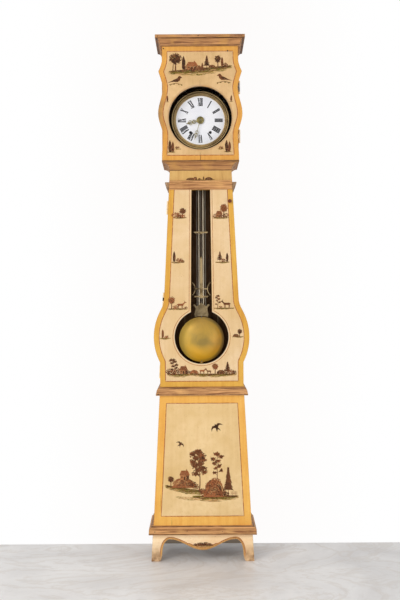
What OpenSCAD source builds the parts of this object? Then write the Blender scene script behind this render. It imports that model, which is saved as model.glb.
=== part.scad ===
// Longcase clock with a tapered, bellied case, two-train iron movement and gridiron pendulum.
// Millimetres. +Z is up, the clock faces -Y, X runs to the right as seen from the front.
// The origin is on the floor, in the middle of the overall width and depth.

/* [Overall] */
// Overall depth from the front of the mouldings to the back of the case
total_d = 280; // [270:1:300]
// Thickness of the front panel and of both door boards
front_t = 20; // [16:0.5:22]
// Thickness of the back boards
back_t = 14; // [10:0.5:16]

/* [Base] */
// Height of the aprons and feet
apron_h = 123; // [105:1:135]
// Half width across the soles of the feet
foot_hw = 231; // [228:1:236]
// Width of each front foot at the floor
foot_w = 35; // [30:1:50]
// Height of the arches beside the feet
arch_h = 100; // [85:1:100]
// Height of the lowest point of the apron between the feet
apron_drop_z = 51; // [42:1:70]
// Thickness of the apron boards
apron_t = 20; // [14:0.5:22]
// Half width of the base box at its foot
base_hw_low = 222; // [216:1:226]
// Half width of the base box at its top
base_hw_top = 190; // [186:1:196]
// Top of the base box
base_top_z = 745; // [720:1:760]
// Thickness of the base side boards
base_side_t = 14; // [12:0.5:18]
// Thickness of the base floor board
base_floor_t = 14; // [10:0.5:18]
// Height of the base moulding
base_mould_h = 39; // [30:1:45]
// Projection of the base moulding
base_mould_p = 20; // [16:0.5:21]

/* [Trunk] */
// Half width of the trunk box at its foot
trunk_hw_low = 187.5; // [184:0.5:189]
// Half width of the trunk box at the top of the frieze
trunk_hw_top = 139; // [136:0.5:142]
// Height of the mid moulding between base and trunk
mid_mould_h = 37; // [30:1:42]
// Top of the trunk door board's plain part, where the neck moulding begins
neck_z = 1669; // [1655:1:1675]
// Height of the neck moulding
neck_h = 40; // [34:1:44]
// Top of the frieze and of the trunk side boards
frieze_top_z = 1755; // [1745:1:1765]
// Thickness of the trunk side boards
trunk_side_t = 12; // [10:0.5:12]
// How far the front of the trunk stands behind the front of the base
trunk_setback = 6; // [3:0.5:9]
// Height of the round window's centre, which is also the middle of the belly
belly_z = 1007; // [990:1:1020]
// Half width of the door board at the belly
belly_hw = 215; // [210:0.5:220]
// Radius of the belly's edge
belly_r = 250; // [240:1:260]
// Radius of the round window
window_r = 121; // [112:0.5:124]
// Half width of the slot where it meets the round window
slot_hw_low = 49; // [44:0.5:54]
// Half width of the slot at its top
slot_hw_top = 42; // [38:0.5:46]

/* [Head] */
// Height of the cove under the head
cove_h = 44; // [38:1:50]
// Height of the head box between the cove and the crown moulding
head_h = 512; // [480:1:540]
// Half width of the head box
head_hw = 172; // [168:0.5:176]
// Thickness of the head side boards
head_side_t = 14; // [12:0.5:16]
// How far the front of the head stands before the front of the trunk
head_proud = 12; // [8:0.5:14]
// Height of the crown moulding
crown_h = 49; // [42:1:55]
// Half width of the crown moulding at its top
crown_hw = 201; // [194:0.5:208]
// Height of the dial's centre above the foot of the head box
dial_up = 191; // [187:0.5:195]
// Radius of the round opening in the head door
dial_hole_r = 141; // [138:0.5:146]
// Bevel round that opening's front edge
hole_bevel = 3; // [2:0.5:4]

/* [Bezel and dial] */
// Outer radius of the bezel round the dial
bezel_r = 131.5; // [128:0.25:134]
// Radius of the dial that the bezel leaves in sight
sight_r = 110.5; // [108:0.25:112]
// How far the bezel stands in front of the dial's face
bezel_h = 12; // [10:0.5:14]
// Thickness of the door's glass
glass_t = 2; // [1.6:0.1:3]
// Radius of the enamel dial
dial_r = 121; // [118:0.5:124]
// Thickness of the enamel dial
dial_t = 2.5; // [1.5:0.1:3]
// Distance of the dial's face behind the head door's face
dial_depth = 62; // [60:0.5:64]
// Radius of the winding holes in the dial
wind_hole_r = 6.75; // [5.5:0.25:8]
// Length of the hour hand
hour_l = 68; // [60:0.5:72]
// Length of the minute hand
minute_l = 96; // [88:0.5:100]
// Direction of the hour hand, clockwise from twelve
hour_at = 256; // [0:0.5:360]
// Direction of the minute hand, clockwise from twelve
minute_at = 196.5; // [0:0.5:360]

/* [Movement] */
// Width of the iron cage
cage_w = 230; // [224:1:236]
// Depth of the iron cage
cage_d = 108; // [104:1:112]
// Height of the cage's underside above the foot of the head box
cage_up = 66; // [60:1:70]
// Height of the iron cage
cage_h = 250; // [240:1:256]
// Thickness of the cage's plates
plate_t = 4; // [3:0.5:5]
// Side of the cage's square posts
post_w = 8; // [6:0.5:10]
// Thickness of the train bars
bar_t = 4; // [3:0.5:5]
// Distance of each drum arbor from the middle
drum_x = 45; // [44:0.5:47]
// Distance of the drum arbors below the dial's centre
drum_drop = 55; // [53:0.5:57]
// Radius of the drums
drum_r = 30; // [26:0.5:31]
// Radius of the weight lines
line_r = 1.5; // [1:0.1:2]
// Thickness of the seat board
seat_t = 22; // [18:0.5:26]

/* [Trains] */
// Teeth of each great wheel
great_n = 60; // [56:2:62]
// Teeth of each second wheel
second_n = 54; // [50:2:56]
// Teeth of each third wheel
third_n = 48; // [46:2:50]
// Leaves of every train pinion
leaf_n = 8; // [8:1:8]
// Module of the great wheel and the pinion it drives
great_m = 1.25; // [1.2:0.01:1.3]
// Module of the second wheel and the pinion it drives
second_m = 1.1; // [1.06:0.01:1.15]
// Module of the third wheel and the pinion it drives
third_m = 1.0; // [0.96:0.01:1.04]
// Thickness of the wheels' rims
wheel_t = 3; // [2:0.1:4]
// Teeth of the escape wheel
escape_n = 30; // [24:1:36]
// Radius of the escape wheel's tips
escape_r = 22; // [20:0.25:23]
// Radial clearance of every arbor in its bore
run_gap = 0.05; // [0.02:0.01:0.09]

/* [Pendulum and weights] */
// Height of the line that the pendulum swings about, above the dial's centre
swing_up = 63; // [60:0.5:66]
// Height of the bob's centre below the centre of the round window
bob_drop = 14; // [8:0.5:20]
// Radius of the bob
bob_r = 103; // [95:0.5:106]
// Half thickness of the bob
bob_half_t = 19; // [14:0.5:22]
// Radius of the gridiron's rods
rod_r = 2.75; // [2:0.05:3.2]
// Spacing of the gridiron's rods
rod_gap = 9.7; // [9:0.1:10.5]
// Radius of each weight
weight_r = 38; // [32:0.5:39]
// Height of each weight
weight_h = 160; // [140:1:180]
// Height of each weight's underside at rest
weight_z = 300; // [280:1:340]

/* [Fittings] */
// Radius of the hinge knuckles
knuckle_r = 3.5; // [3:0.1:4]
// Radius of the hinge pins
pin_r = 1.5; // [1.2:0.1:1.8]
// Length of each hinge
hinge_l = 60; // [48:1:70]
// Radius of the door knob
knob_r = 8.5; // [7:0.25:10]
// Clearance between a door and the case
door_gap = 0.5; // [0.3:0.1:1]

/* [Hidden] */
$fn = 96;

// Depths, measured along Y
y_back = total_d / 2;
y_board = y_back - back_t;
base_face_y = base_mould_p + 2 - total_d / 2;
base_front_y = base_face_y + front_t;
trunk_face_y = base_face_y + trunk_setback;
trunk_front_y = trunk_face_y + front_t;
head_face_y = trunk_face_y - head_proud;
head_front_y = head_face_y + front_t;
dial_face_y = head_face_y + dial_depth;
dial_back_y = dial_face_y + dial_t;
cage_front_y = dial_back_y + 39.5;
cage_back_y = cage_front_y + cage_d;
bars_in_y = cage_front_y + bar_t;
swing_y = dial_back_y + 25.5;

// Heights and half widths of the case
mid_top_z = base_top_z + mid_mould_h;
head_z = frieze_top_z + cove_h;
crown_z = head_z + head_h;
total_h = crown_z + crown_h;
dial_z = head_z + dial_up;
cage_z = head_z + cage_up;
swing_z = dial_z + swing_up;
bob_z = belly_z - bob_drop;
head_hinge_z = [dial_z - 81, dial_z + 139];
head_top_t = 14;
base_taper = (base_hw_low - base_hw_top) / (base_top_z - apron_h);
trunk_taper = (trunk_hw_low - trunk_hw_top) / (frieze_top_z - mid_top_z);
trunk_tilt = atan(trunk_taper);
function base_hw(z) = base_hw_low - base_taper * (z - apron_h);
function trunk_hw(z) = trunk_hw_low - trunk_taper * (z - mid_top_z);
door_clear = 1;

// Movement places, as [x, z]
drum_z = dial_z - drum_drop;
going_great = [drum_x, drum_z];
strike_great = [-drum_x, drum_z];
great_to_second = (great_n + leaf_n) * great_m / 2;
second_to_third = (second_n + leaf_n) * second_m / 2;
third_to_last = (third_n + leaf_n) * third_m / 2;
second_x = drum_x - 7;
second_z = drum_z + sqrt(pow(great_to_second, 2) - 49);
going_second = [second_x, second_z];
strike_second = [-second_x, second_z];
escape_at = [0, swing_z - 31];
fly_at = [-48, dial_z + 44];
function bend(a, b, ra, rb) =
    let (d = b - a)
    let (l = norm(d))
    let (along = (ra * ra - rb * rb + l * l) / (2 * l))
    let (off = sqrt(ra * ra - along * along))
    a + along * d / l + off * [d[1], -d[0]] / l;
going_third = bend(going_second, escape_at, second_to_third, third_to_last);
strike_third_right = bend([second_x, second_z], [-fly_at[0], fly_at[1]], second_to_third, third_to_last);
strike_third = [-strike_third_right[0], strike_third_right[1]];

// Depths inside the movement, behind the front bars
great_y = bars_in_y + 22;
drum_y = bars_in_y + 32;
drum_l = 44;
second_y = bars_in_y + 82;
third_y = bars_in_y + 62;
escape_y = bars_in_y + 36;
line_x = drum_x + drum_r + line_r + 0.3;
line_y = drum_y + drum_l / 2;

// Draws a front outline given in X and Z as a slab from y0 to y1
module slab(y0, y1) {
    translate([0, y1, 0])
        rotate([90, 0, 0])
            linear_extrude(y1 - y0)
                children();
}

// Draws a side outline given in Y and Z as a slab from x0 to x1
module side_slab(x0, x1) {
    translate([x0, 0, 0])
        rotate([90, 0, 90])
            linear_extrude(x1 - x0)
                children();
}

// Turns a profile given as radius and Y about a line along Y through x, z
module turned(x, z) {
    translate([x, 0, z])
        rotate([-90, 0, 0])
            rotate_extrude()
                children();
}

// A round bar along Y between y0 and y1
module rod_y(x, z, r, y0, y1) {
    translate([x, y0, z])
        rotate([-90, 0, 0])
            cylinder(h = y1 - y0, r = r);
}

function mirrored(points) = concat(points, [for (i = [len(points) - 1:-1:0]) [-points[i][0], points[i][1]]]);
function arc(cx, cy, r, a0, a1, n) =
    [for (i = [0:n]) [cx + r * cos(a0 + (a1 - a0) * i / n), cy + r * sin(a0 + (a1 - a0) * i / n)]];
// Points of a smooth rise or fall from [z0, w0] to [z1, w1], level at both ends
function swell(z0, w0, z1, w1, n) =
    [for (i = [0:n - 1]) [w0 + (w1 - w0) * (1 - cos(180 * i / n)) / 2, z0 + (z1 - z0) * i / n]];

// A moulding run round the front and both sides.
// outline lists [height, projection]; x_at gives the case's half width there.
module moulded_front(outline, front_y, front_k, inner_y) {
    intersection() {
        slab(-2 * total_d, inner_y)
            polygon(mirrored([for (p = outline) [p[2], p[0]]]));
        side_slab(-2 * total_d, 2 * total_d)
            polygon(concat([[inner_y, outline[0][0]]],
                [for (p = outline) [front_y - p[1] * front_k, p[0]]],
                [[inner_y, outline[len(outline) - 1][0]]]));
    }
}
module moulded_return(outline, inner, y0, y1) {
    for (side = [0, 1])
        mirror([side, 0, 0])
            slab(y0, y1)
                polygon(concat([for (p = outline) [p[2], p[0]]],
                    [for (i = [len(inner) - 1:-1:0]) inner[i]]));
}

// Base

module base_front_panel() {
    color("#EBCF9B")
        slab(base_face_y, base_front_y)
            polygon(mirrored([[base_hw(apron_h), apron_h], [base_hw(base_top_z), base_top_z]]));
}

module base_sides() {
    color("#E0B468")
        for (side = [0, 1])
            mirror([side, 0, 0])
                slab(base_front_y, y_board)
                    polygon([
                        [base_hw(apron_h) - base_side_t, apron_h], [base_hw(apron_h), apron_h],
                        [base_hw(base_top_z), base_top_z], [base_hw(base_top_z) - base_side_t, base_top_z]
                    ]);
}

module base_floor() {
    floor_hw = base_hw(apron_h + base_floor_t) - base_side_t;
    color("#A97B50")
        slab(base_front_y, y_board)
            polygon(mirrored([[floor_hw, apron_h], [floor_hw, apron_h + base_floor_t]]));
}

module base_moulding() {
    fillet_h = base_mould_h * 0.3;
    top_z = apron_h + base_mould_h;
    bead = arc(0, 0, fillet_h, 0, 90, 6);
    outline = concat(
        [[apron_h, base_mould_p], [apron_h + base_mould_h * 0.62, base_mould_p]],
        [for (p = bead) [top_z - fillet_h + p[1], 2 + (base_mould_p - 8) * p[0] / fillet_h]]
    );
    placed = [for (p = outline) [p[0], p[1], base_hw(p[0]) + p[1]]];
    color("#B98A5E") {
        moulded_front(placed, base_face_y, 1, base_face_y);
        moulded_return(placed, [[base_hw(apron_h), apron_h], [base_hw(top_z), top_z]], base_face_y, y_back);
    }
}

foot_in = foot_hw - foot_w;
apron_hw = foot_hw - 7;
arch_x = foot_in - 48;
foot_flare = 14;
arch_spring_z = 38;
function apron_edge() = concat(
    [for (i = [0:3]) let (a = 90 * i / 4)
        [foot_in - foot_flare * sin(a), arch_spring_z * (1 - cos(a))]],
    [for (i = [0:6]) let (a = 90 * i / 6)
        [arch_x + (foot_in - foot_flare - arch_x) * cos(a),
         arch_spring_z + (arch_h - arch_spring_z) * sin(a)]],
    [for (i = [1:8]) let (t = i / 8)
        [arch_x * (1 - t), arch_h - (arch_h - apron_drop_z) * (1 - cos(180 * t)) / 2]]
);

module apron_front() {
    half = concat([[apron_hw, apron_h], [foot_hw, 0]], apron_edge());
    color("#E0B468")
        slab(base_face_y, base_face_y + apron_t)
            polygon(concat(half, [for (i = [len(half) - 2:-1:0]) [-half[i][0], half[i][1]]]));
}

module apron_sides() {
    back_foot = 42;
    front_foot = 30;
    y0 = base_face_y + apron_t;
    color("#E0B468")
        for (side = [0, 1])
            mirror([side, 0, 0])
                difference() {
                    slab(y0, y_back)
                        polygon([
                            [apron_hw - apron_t, apron_h], [apron_hw, apron_h],
                            [foot_hw, 0], [foot_hw - apron_t, 0]
                        ]);
                    side_slab(0, 2 * foot_hw)
                        polygon(concat([[y0 + front_foot, -1]],
                            [for (i = [0:12]) let (a = 180 - 15 * i)
                                [(y0 + front_foot + y_back - back_foot) / 2
                                    + (y_back - back_foot - y0 - front_foot) / 2 * cos(a),
                                 arch_h * 0.8 * pow(sin(a), 0.6)]],
                            [[y_back - back_foot, -1]]));
                }
}

// Back

module back_boards() {
    color("#8A6A48")
        slab(y_board, y_back) {
            polygon(mirrored([[base_hw(apron_h), apron_h], [base_hw(base_top_z), base_top_z]]));
            polygon(mirrored([
                [mid_in_low, base_top_z], [mid_in_top, mid_top_z], [trunk_hw(mid_top_z), mid_top_z],
                [trunk_hw(frieze_top_z), frieze_top_z], [cove_in, frieze_top_z], [cove_in, head_z]
            ]));
            polygon(mirrored([[head_hw, head_z], [head_hw, crown_z + head_top_t]]));
        }
}

// Trunk

function mid_outline() =
    let (foot = 16.5)
    concat([[base_top_z, foot], [base_top_z + mid_mould_h * 0.3, foot]],
        [for (i = [0:8]) let (a = 90 * i / 8)
            [base_top_z + mid_mould_h * (0.36 + 0.64 * sin(a)), foot - 1 - (foot - 2) * (1 - cos(a))]]);

mid_in_low = base_hw_top - base_side_t;
mid_in_top = mid_in_low - 2.5;
module mid_moulding() {
    lean = (mid_in_low - mid_in_top) / mid_mould_h;
    placed = [for (p = mid_outline()) [p[0], p[1], base_hw_top + p[1] - lean * (p[0] - base_top_z)]];
    color("#B98A5E") {
        moulded_front(placed, trunk_face_y, 1, trunk_front_y);
        moulded_return(placed, [[mid_in_low, base_top_z], [mid_in_top, mid_top_z]], trunk_front_y, y_back);
    }
}

module trunk_sides() {
    tongue_h = 26;
    low_hw = trunk_hw(mid_top_z);
    top_hw = trunk_hw(frieze_top_z);
    color("#E0B468")
        for (side = [0, 1])
            mirror([side, 0, 0])
                difference() {
                    slab(trunk_front_y, y_board)
                        polygon([
                            [low_hw - trunk_side_t, mid_top_z], [low_hw, mid_top_z],
                            [top_hw, frieze_top_z], [top_hw - trunk_side_t, frieze_top_z]
                        ]);
                    if (side == 0)
                        translate([knob_x, trunk_front_y + 2, knob_z - tongue_h / 2])
                            cube([tongue_l + 1, 6, tongue_h]);
                }
}

module neck_returns() {
    z0 = neck_z + neck_h * 0.4;
    z1 = neck_z + neck_h * 0.92;
    top_hw = trunk_hw(z1);
    color("#B98A5E")
        for (side = [0, 1])
            mirror([side, 0, 0])
                slab(trunk_front_y, y_back)
                    polygon(concat(
                        [[trunk_hw(z0), z0]],
                        [for (i = [0:6]) let (a = 90 * i / 6)
                            [trunk_hw(z0) + 13 + 5 * (1 - cos(a)), z0 + (z1 - z0) * sin(a) * 0.7]],
                        [[top_hw + 20, z0 + (z1 - z0) * 0.75], [top_hw + 20, z1], [top_hw, z1]]));
}

frieze_z = neck_z + neck_h + door_clear;
module frieze_board() {
    color("#E8B455")
        slab(trunk_face_y, trunk_front_y)
            polygon(mirrored([[trunk_hw(frieze_z), frieze_z], [trunk_hw(frieze_top_z), frieze_top_z]]));
}

cove_in = trunk_hw_top - trunk_side_t;
module head_cove() {
    reach = head_hw - trunk_hw_top;
    lip = 6;
    outline = concat(
        [for (i = [0:10]) let (a = 90 * i / 10)
            [frieze_top_z + (cove_h - lip) * sin(a), reach * (1 - cos(a))]],
        [[head_z - lip, reach + 1], [head_z, reach + 1]]
    );
    placed = [for (p = outline) [p[0], p[1], trunk_hw_top + p[1]]];
    front_k = (head_proud + 4) / reach;
    color("#C89A55") {
        moulded_front(placed, trunk_face_y, front_k, trunk_front_y);
        moulded_return(placed, [[cove_in, frieze_top_z], [cove_in, head_z]], trunk_front_y, y_back);
    }
}

// Head

module head_sides() {
    color("#E0B468")
        for (side = [0, 1])
            mirror([side, 0, 0])
                slab(head_front_y, y_board)
                    polygon([
                        [head_hw - head_side_t, head_z], [head_hw, head_z],
                        [head_hw, crown_z], [head_hw - head_side_t, crown_z]
                    ]);
}

module head_top() {
    color("#A97B50")
        slab(head_front_y, y_board)
            polygon(mirrored([[head_hw, crown_z], [head_hw, crown_z + head_top_t]]));
}

module crown_moulding() {
    reach = crown_hw - head_hw;
    foot = 6;
    fillet = 14;
    outline = concat(
        [[crown_z, foot], [crown_z + 5, foot + 1]],
        [for (i = [0:8]) let (a = 90 * i / 8)
            [crown_z + 5 + (crown_h - fillet - 5) * sin(a), foot + 1 + (reach - foot - 4) * (1 - cos(a))]],
        [[total_h - fillet, reach], [total_h, reach]]
    );
    placed = [for (p = outline) [p[0], p[1], head_hw + p[1]]];
    front_k = (total_d / 2 + head_face_y) / reach;
    color("#E8B455") {
        moulded_front(placed, head_face_y, front_k, head_front_y);
        moulded_return(placed, [[head_hw, crown_z], [head_hw, total_h]], head_front_y, y_back);
    }
}

seat_z = cage_z - seat_t;
module seat_board() {
    seat_hw = head_hw - head_side_t;
    bearer = 20;
    color("#9A7048") {
        difference() {
            slab(cage_front_y + 2, y_board)
                polygon(mirrored([[seat_hw, seat_z], [seat_hw, cage_z]]));
            line_slots(seat_z, cage_z);
        }
        for (side = [0, 1])
            mirror([side, 0, 0])
                slab(cage_front_y + 2, y_board)
                    polygon([
                        [seat_hw - bearer, seat_z - bearer], [seat_hw, seat_z - bearer],
                        [seat_hw, seat_z], [seat_hw - bearer, seat_z]
                    ]);
    }
}
module line_slots(z0, z1) {
    for (side = [-1, 1])
        translate([side * line_x - 10, drum_y, z0 - 1])
            cube([20, drum_l, z1 - z0 + 2]);
}

// Doors

// The door's edge swings in at each hinge and ends in an ear under the crown
ear_z = head_hinge_z[1] + (crown_z - door_clear - head_hinge_z[1]) * 0.387;
ear_top_z = head_hinge_z[1] + (crown_z - door_clear - head_hinge_z[1]) * 0.718;
function head_edge() = concat(
    [[head_hw + 0.7, head_z + door_clear]],
    swell(head_z + 12, head_hw + 0.7, head_hinge_z[0], head_hw - 4, 6),
    swell(head_hinge_z[0], head_hw - 4, dial_z + 19, head_hw + 17, 9),
    swell(dial_z + 19, head_hw + 17, head_hinge_z[1], head_hw - 4, 10),
    [for (i = [0:5]) let (t = i / 6)
        [head_hw - 4 + 19 * pow(t, 1.3), head_hinge_z[1] + (ear_z - head_hinge_z[1]) * t]],
    [for (i = [0:6]) let (t = i / 6)
        [head_hw + 15 - 17 * (1 - pow(1 - t, 1.8)), ear_z + (ear_top_z - ear_z) * t]],
    [[head_hw - 2, crown_z - door_clear]]
);

glass_y = head_front_y - door_gap - glass_t - 1;
glass_r = dial_hole_r + 5;
module head_door_board() {
    color("#EBCF9B")
        difference() {
            slab(head_face_y, head_front_y - door_gap)
                difference() {
                    polygon(mirrored(head_edge()));
                    translate([0, dial_z])
                        circle(dial_hole_r);
                }
            turned(0, dial_z)
                polygon([
                    [dial_hole_r - 1, head_face_y - 1], [dial_hole_r + hole_bevel + 1, head_face_y - 1],
                    [dial_hole_r - 1, head_face_y + hole_bevel + 1]
                ]);
            // rebate for the glass
            rod_y(0, dial_z, glass_r + 0.5, glass_y, head_front_y);
            for (z = head_hinge_z)
                place_head_hinge(z)
                    leaf_recess();
        }
}

module dial_glass() {
    color("#CFE0E4", 0.35)
        rod_y(0, dial_z, glass_r, glass_y, glass_y + glass_t);
}

// The trunk door's edge: a round belly between a square shoulder and a hollow fillet
function belly_edge(z) = belly_hw - belly_r + sqrt(belly_r * belly_r - (z - belly_z) * (z - belly_z));
belly_low_z = belly_z - 114;
belly_high_z = belly_z + 118;
hollow_z = belly_z + 172;
function trunk_door_edge() = concat(
    [[trunk_hw(mid_top_z), mid_top_z + door_clear], [trunk_hw_low, belly_low_z]],
    [for (i = [0:14]) let (z = belly_low_z + (belly_high_z - belly_low_z) * i / 14) [belly_edge(z), z]],
    [for (i = [1:6]) let (t = i / 6)
        let (z = belly_high_z + (hollow_z - belly_high_z) * t)
        [belly_edge(belly_high_z) + (trunk_hw(hollow_z) - belly_edge(belly_high_z)) * sin(90 * t), z]],
    [[trunk_hw(neck_z + neck_h), neck_z + neck_h]]
);

module trunk_door_board() {
    color("#EBCF9B")
        difference() {
            slab(trunk_face_y, trunk_front_y - door_gap)
                difference() {
                    polygon(mirrored(trunk_door_edge()));
                    translate([0, belly_z])
                        circle(window_r);
                    polygon(mirrored([[slot_hw_low, belly_z], [slot_hw_top, neck_z]]));
                    translate([knob_x, knob_z])
                        circle(spindle_r + run_gap);
                }
            for (z = trunk_hinge_z)
                place_trunk_hinge(z)
                    leaf_recess();
        }
}

neck_p = 12;
module neck_moulding() {
    z1 = neck_z + neck_h;
    hw = trunk_hw(z1);
    color("#B98A5E")
        side_slab(-hw, hw)
            polygon(concat(
                [[trunk_face_y, neck_z], [trunk_face_y - 3, neck_z], [trunk_face_y - 3, neck_z + 6]],
                [for (i = [0:8]) let (a = 90 * i / 8)
                    [trunk_face_y - 3 - (neck_p - 3) * (1 - cos(a)), neck_z + 6 + (neck_h - 14) * sin(a)]],
                [[trunk_face_y - neck_p, z1], [trunk_face_y, z1]]
            ));
}

// Knob and latch on the trunk door
knob_x = 130;
knob_z = neck_z - 53;
spindle_r = 2.5;
tongue_l = 11;
tongue_w = 7;
tongue_t = 3;
knob_l = 18;
module trunk_knob() {
    neck = knob_r * 0.55;
    color("#6E3420")
        turned(knob_x, knob_z)
            polygon(concat(
                [[0, trunk_front_y + 6], [spindle_r, trunk_front_y + 6], [spindle_r, trunk_face_y - 0.3],
                 [knob_r * 0.8, trunk_face_y - 0.3], [neck, trunk_face_y - 4]],
                [for (i = [0:10]) let (a = -50 + 14 * i)
                    [knob_r * cos(a), trunk_face_y - knob_l * 0.58 - knob_l * 0.42 * sin(a)]],
                [[0, trunk_face_y - knob_l]]
            ));
}

module latch_tongue() {
    color("#5A5450")
        slab(trunk_front_y + 3, trunk_front_y + 3 + tongue_t)
            difference() {
                union() {
                    translate([knob_x, knob_z])
                        circle(tongue_w / 2);
                    translate([knob_x - tongue_w / 2, knob_z - tongue_l])
                        square([tongue_w, tongue_l]);
                }
                translate([knob_x, knob_z])
                    circle(spindle_r);
            }
}

// Hinges. Drawn about the pin, with the door towards -X and -Y, for a hinge on the right.
leaf_t = 1.5;
leaf_l = 26;
pin_gap = 0.3;
hinge_reach = 4;
trunk_hinge_z = [mid_top_z + 68, mid_top_z + 395, neck_z - 79];
knuckle_l = (hinge_l - 2 * pin_gap) / 3;
module leaf_recess() {
    translate([-leaf_l - hinge_reach, -leaf_t, -hinge_l / 2])
        cube([leaf_l + 2 * hinge_reach, leaf_t + 1, hinge_l]);
    translate([0, 0, -hinge_l / 2 - pin_gap])
        cylinder(h = hinge_l + 2 * pin_gap, r = knuckle_r + pin_gap);
}
module hinge_case() {
    difference() {
        union() {
            cylinder(h = hinge_l, r = pin_r, center = true);
            for (side = [-1, 1])
                translate([0, 0, side * (knuckle_l + pin_gap) - knuckle_l / 2])
                    cylinder(h = knuckle_l, r = knuckle_r);
            for (side = [-1, 1])
                translate([-hinge_reach, 0, side * (knuckle_l + pin_gap) - knuckle_l / 2])
                    cube([leaf_t, leaf_l, knuckle_l]);
            translate([-hinge_reach, 6, -hinge_l / 2])
                cube([leaf_t, leaf_l - 6, hinge_l]);
        }
    }
}
module hinge_door() {
    difference() {
        union() {
            cylinder(h = knuckle_l, r = knuckle_r, center = true);
            translate([-leaf_l - hinge_reach, -leaf_t, -knuckle_l / 2])
                cube([leaf_l + hinge_reach, leaf_t, knuckle_l]);
            translate([-leaf_l - hinge_reach, -leaf_t, -hinge_l / 2])
                cube([leaf_l - 2, leaf_t, hinge_l]);
        }
        cylinder(h = knuckle_l + 2, r = pin_r + run_gap, center = true);
    }
}
module place_head_hinge(z) {
    translate([head_hw + hinge_reach, head_front_y - door_gap, z])
        children();
}
module place_trunk_hinge(z) {
    translate([-trunk_hw(z), trunk_front_y - door_gap, z])
        rotate([0, trunk_tilt, 0])
            translate([-hinge_reach, 0, 0])
                mirror([1, 0, 0])
                    children();
}
module head_hinge_case() {
    color("#5A4A38")
        for (z = head_hinge_z)
            place_head_hinge(z)
                hinge_case();
}
module head_hinge_door() {
    color("#5A4A38")
        for (z = head_hinge_z)
            place_head_hinge(z)
                hinge_door();
}
module trunk_hinge_case() {
    color("#5A4A38")
        for (z = trunk_hinge_z)
            place_trunk_hinge(z)
                hinge_case();
}
module trunk_hinge_door() {
    color("#5A4A38")
        for (z = trunk_hinge_z)
            place_trunk_hinge(z)
                hinge_door();
}

// Movement

cage_top_z = cage_z + cage_h;
hammer_x = -(cage_w - post_w) / 2;
hammer_z = dial_z + 40;
module movement_cage() {
    post_x = (cage_w - post_w) / 2;
    color("#4A4642")
        difference() {
            union() {
                for (z = [cage_z, cage_top_z - plate_t])
                    translate([-cage_w / 2, cage_front_y, z])
                        cube([cage_w, cage_d, plate_t]);
                for (x = [-post_x, post_x], y = [cage_front_y, cage_back_y - post_w])
                    translate([x - post_w / 2, y, cage_z])
                        cube([post_w, post_w, cage_h]);
            }
            line_slots(cage_z, cage_z + plate_t);
            translate([hammer_x - post_w, hammer_y - 7, cage_top_z - plate_t - 1])
                cube([2 * post_w, 14, plate_t + 2]);
            rod_y(hammer_x, hammer_z, hammer_arbor_r + run_gap, cage_front_y - 1, cage_back_y + 1);
        }
}

pivot_r = 1.5;
arbor_r = 2.5;
wind_r = 4;
hand_r = 2.5;
boss_r = 8;
boss_l = 12;
stud_r = 2;
motion_at = [0, dial_z - (12 + 36) / 2];
bar_low_z = cage_z + plate_t;
bar_top_z = cage_top_z - plate_t;
going_bar = [17, 57];
strike_bar = [-62, -32];
centre_bar = [-12, 12];
module bar(ends, y, holes) {
    slab(y, y + bar_t)
        difference() {
            translate([ends[0], bar_low_z])
                square([ends[1] - ends[0], bar_top_z - bar_low_z]);
            for (h = holes)
                translate([h[0], h[1]])
                    circle(h[2] + run_gap);
        }
}
function holes_at(points, r) = [for (p = points) [p[0], p[1], r]];
module train_bars() {
    going = [going_second, going_third];
    strike = [strike_second, strike_third, fly_at];
    color("#6A6258") {
        bar(going_bar, cage_front_y, concat(holes_at(going, pivot_r), holes_at([going_great], wind_r)));
        bar(going_bar, bars_back_y, holes_at(concat(going, [going_great]), pivot_r));
        bar(strike_bar, cage_front_y, concat(holes_at(strike, pivot_r), holes_at([strike_great], wind_r)));
        bar(strike_bar, bars_back_y, holes_at(concat(strike, [strike_great]), pivot_r));
        difference() {
            union() {
                bar(centre_bar, cage_front_y, holes_at([escape_at, [0, swing_z]], pivot_r));
                rod_y(0, dial_z, boss_r, cage_front_y - boss_l / 2, bars_in_y + boss_l / 2);
                rod_y(motion_at[0], motion_at[1], stud_r, dial_back_y + 0.5, cage_front_y + 1);
            }
            rod_y(0, dial_z, hand_r + run_gap, cage_front_y - boss_l, bars_in_y + boss_l);
        }
        bar(centre_bar, bars_back_y, holes_at([escape_at, [0, swing_z]], pivot_r));
    }
}

module dial() {
    foot_r = 2.5;
    color("#EDEFF5") {
        slab(dial_face_y, dial_back_y)
            difference() {
                translate([0, dial_z])
                    circle(dial_r);
                translate([0, dial_z])
                    circle(hour_pipe_r + 0.75);
                for (side = [-1, 1])
                    translate([side * drum_x, drum_z])
                        circle(wind_hole_r);
            }
        for (x = [-drum_x, drum_x], z = [dial_z - 86, dial_z + 70])
            rod_y(x, z, foot_r, dial_back_y, cage_front_y);
    }
}

// The bezel lies on the dial's rim and reaches over its edge
module bezel() {
    skin = 1.5;
    step = (bezel_r - sight_r) / 3;
    y = dial_face_y;
    top_y = dial_face_y - bezel_h;
    color("#9A8340")
        turned(0, dial_z)
            polygon([
                [sight_r, y], [sight_r, y - 3], [sight_r + 1.5, y - 5], [sight_r + step - 2, y - 5],
                [sight_r + step - 1, y - 7], [sight_r + step, y - 8], [sight_r + step + 2, y - 7.5],
                [bezel_r - step + 1, top_y + 2], [bezel_r - 5, top_y], [bezel_r - 2, top_y],
                [bezel_r, top_y + 2], [bezel_r, dial_back_y], [bezel_r - skin, dial_back_y],
                [bezel_r - skin, top_y + 4], [bezel_r - step, top_y + 5], [dial_r - 1, y]
            ]);
}

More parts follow.
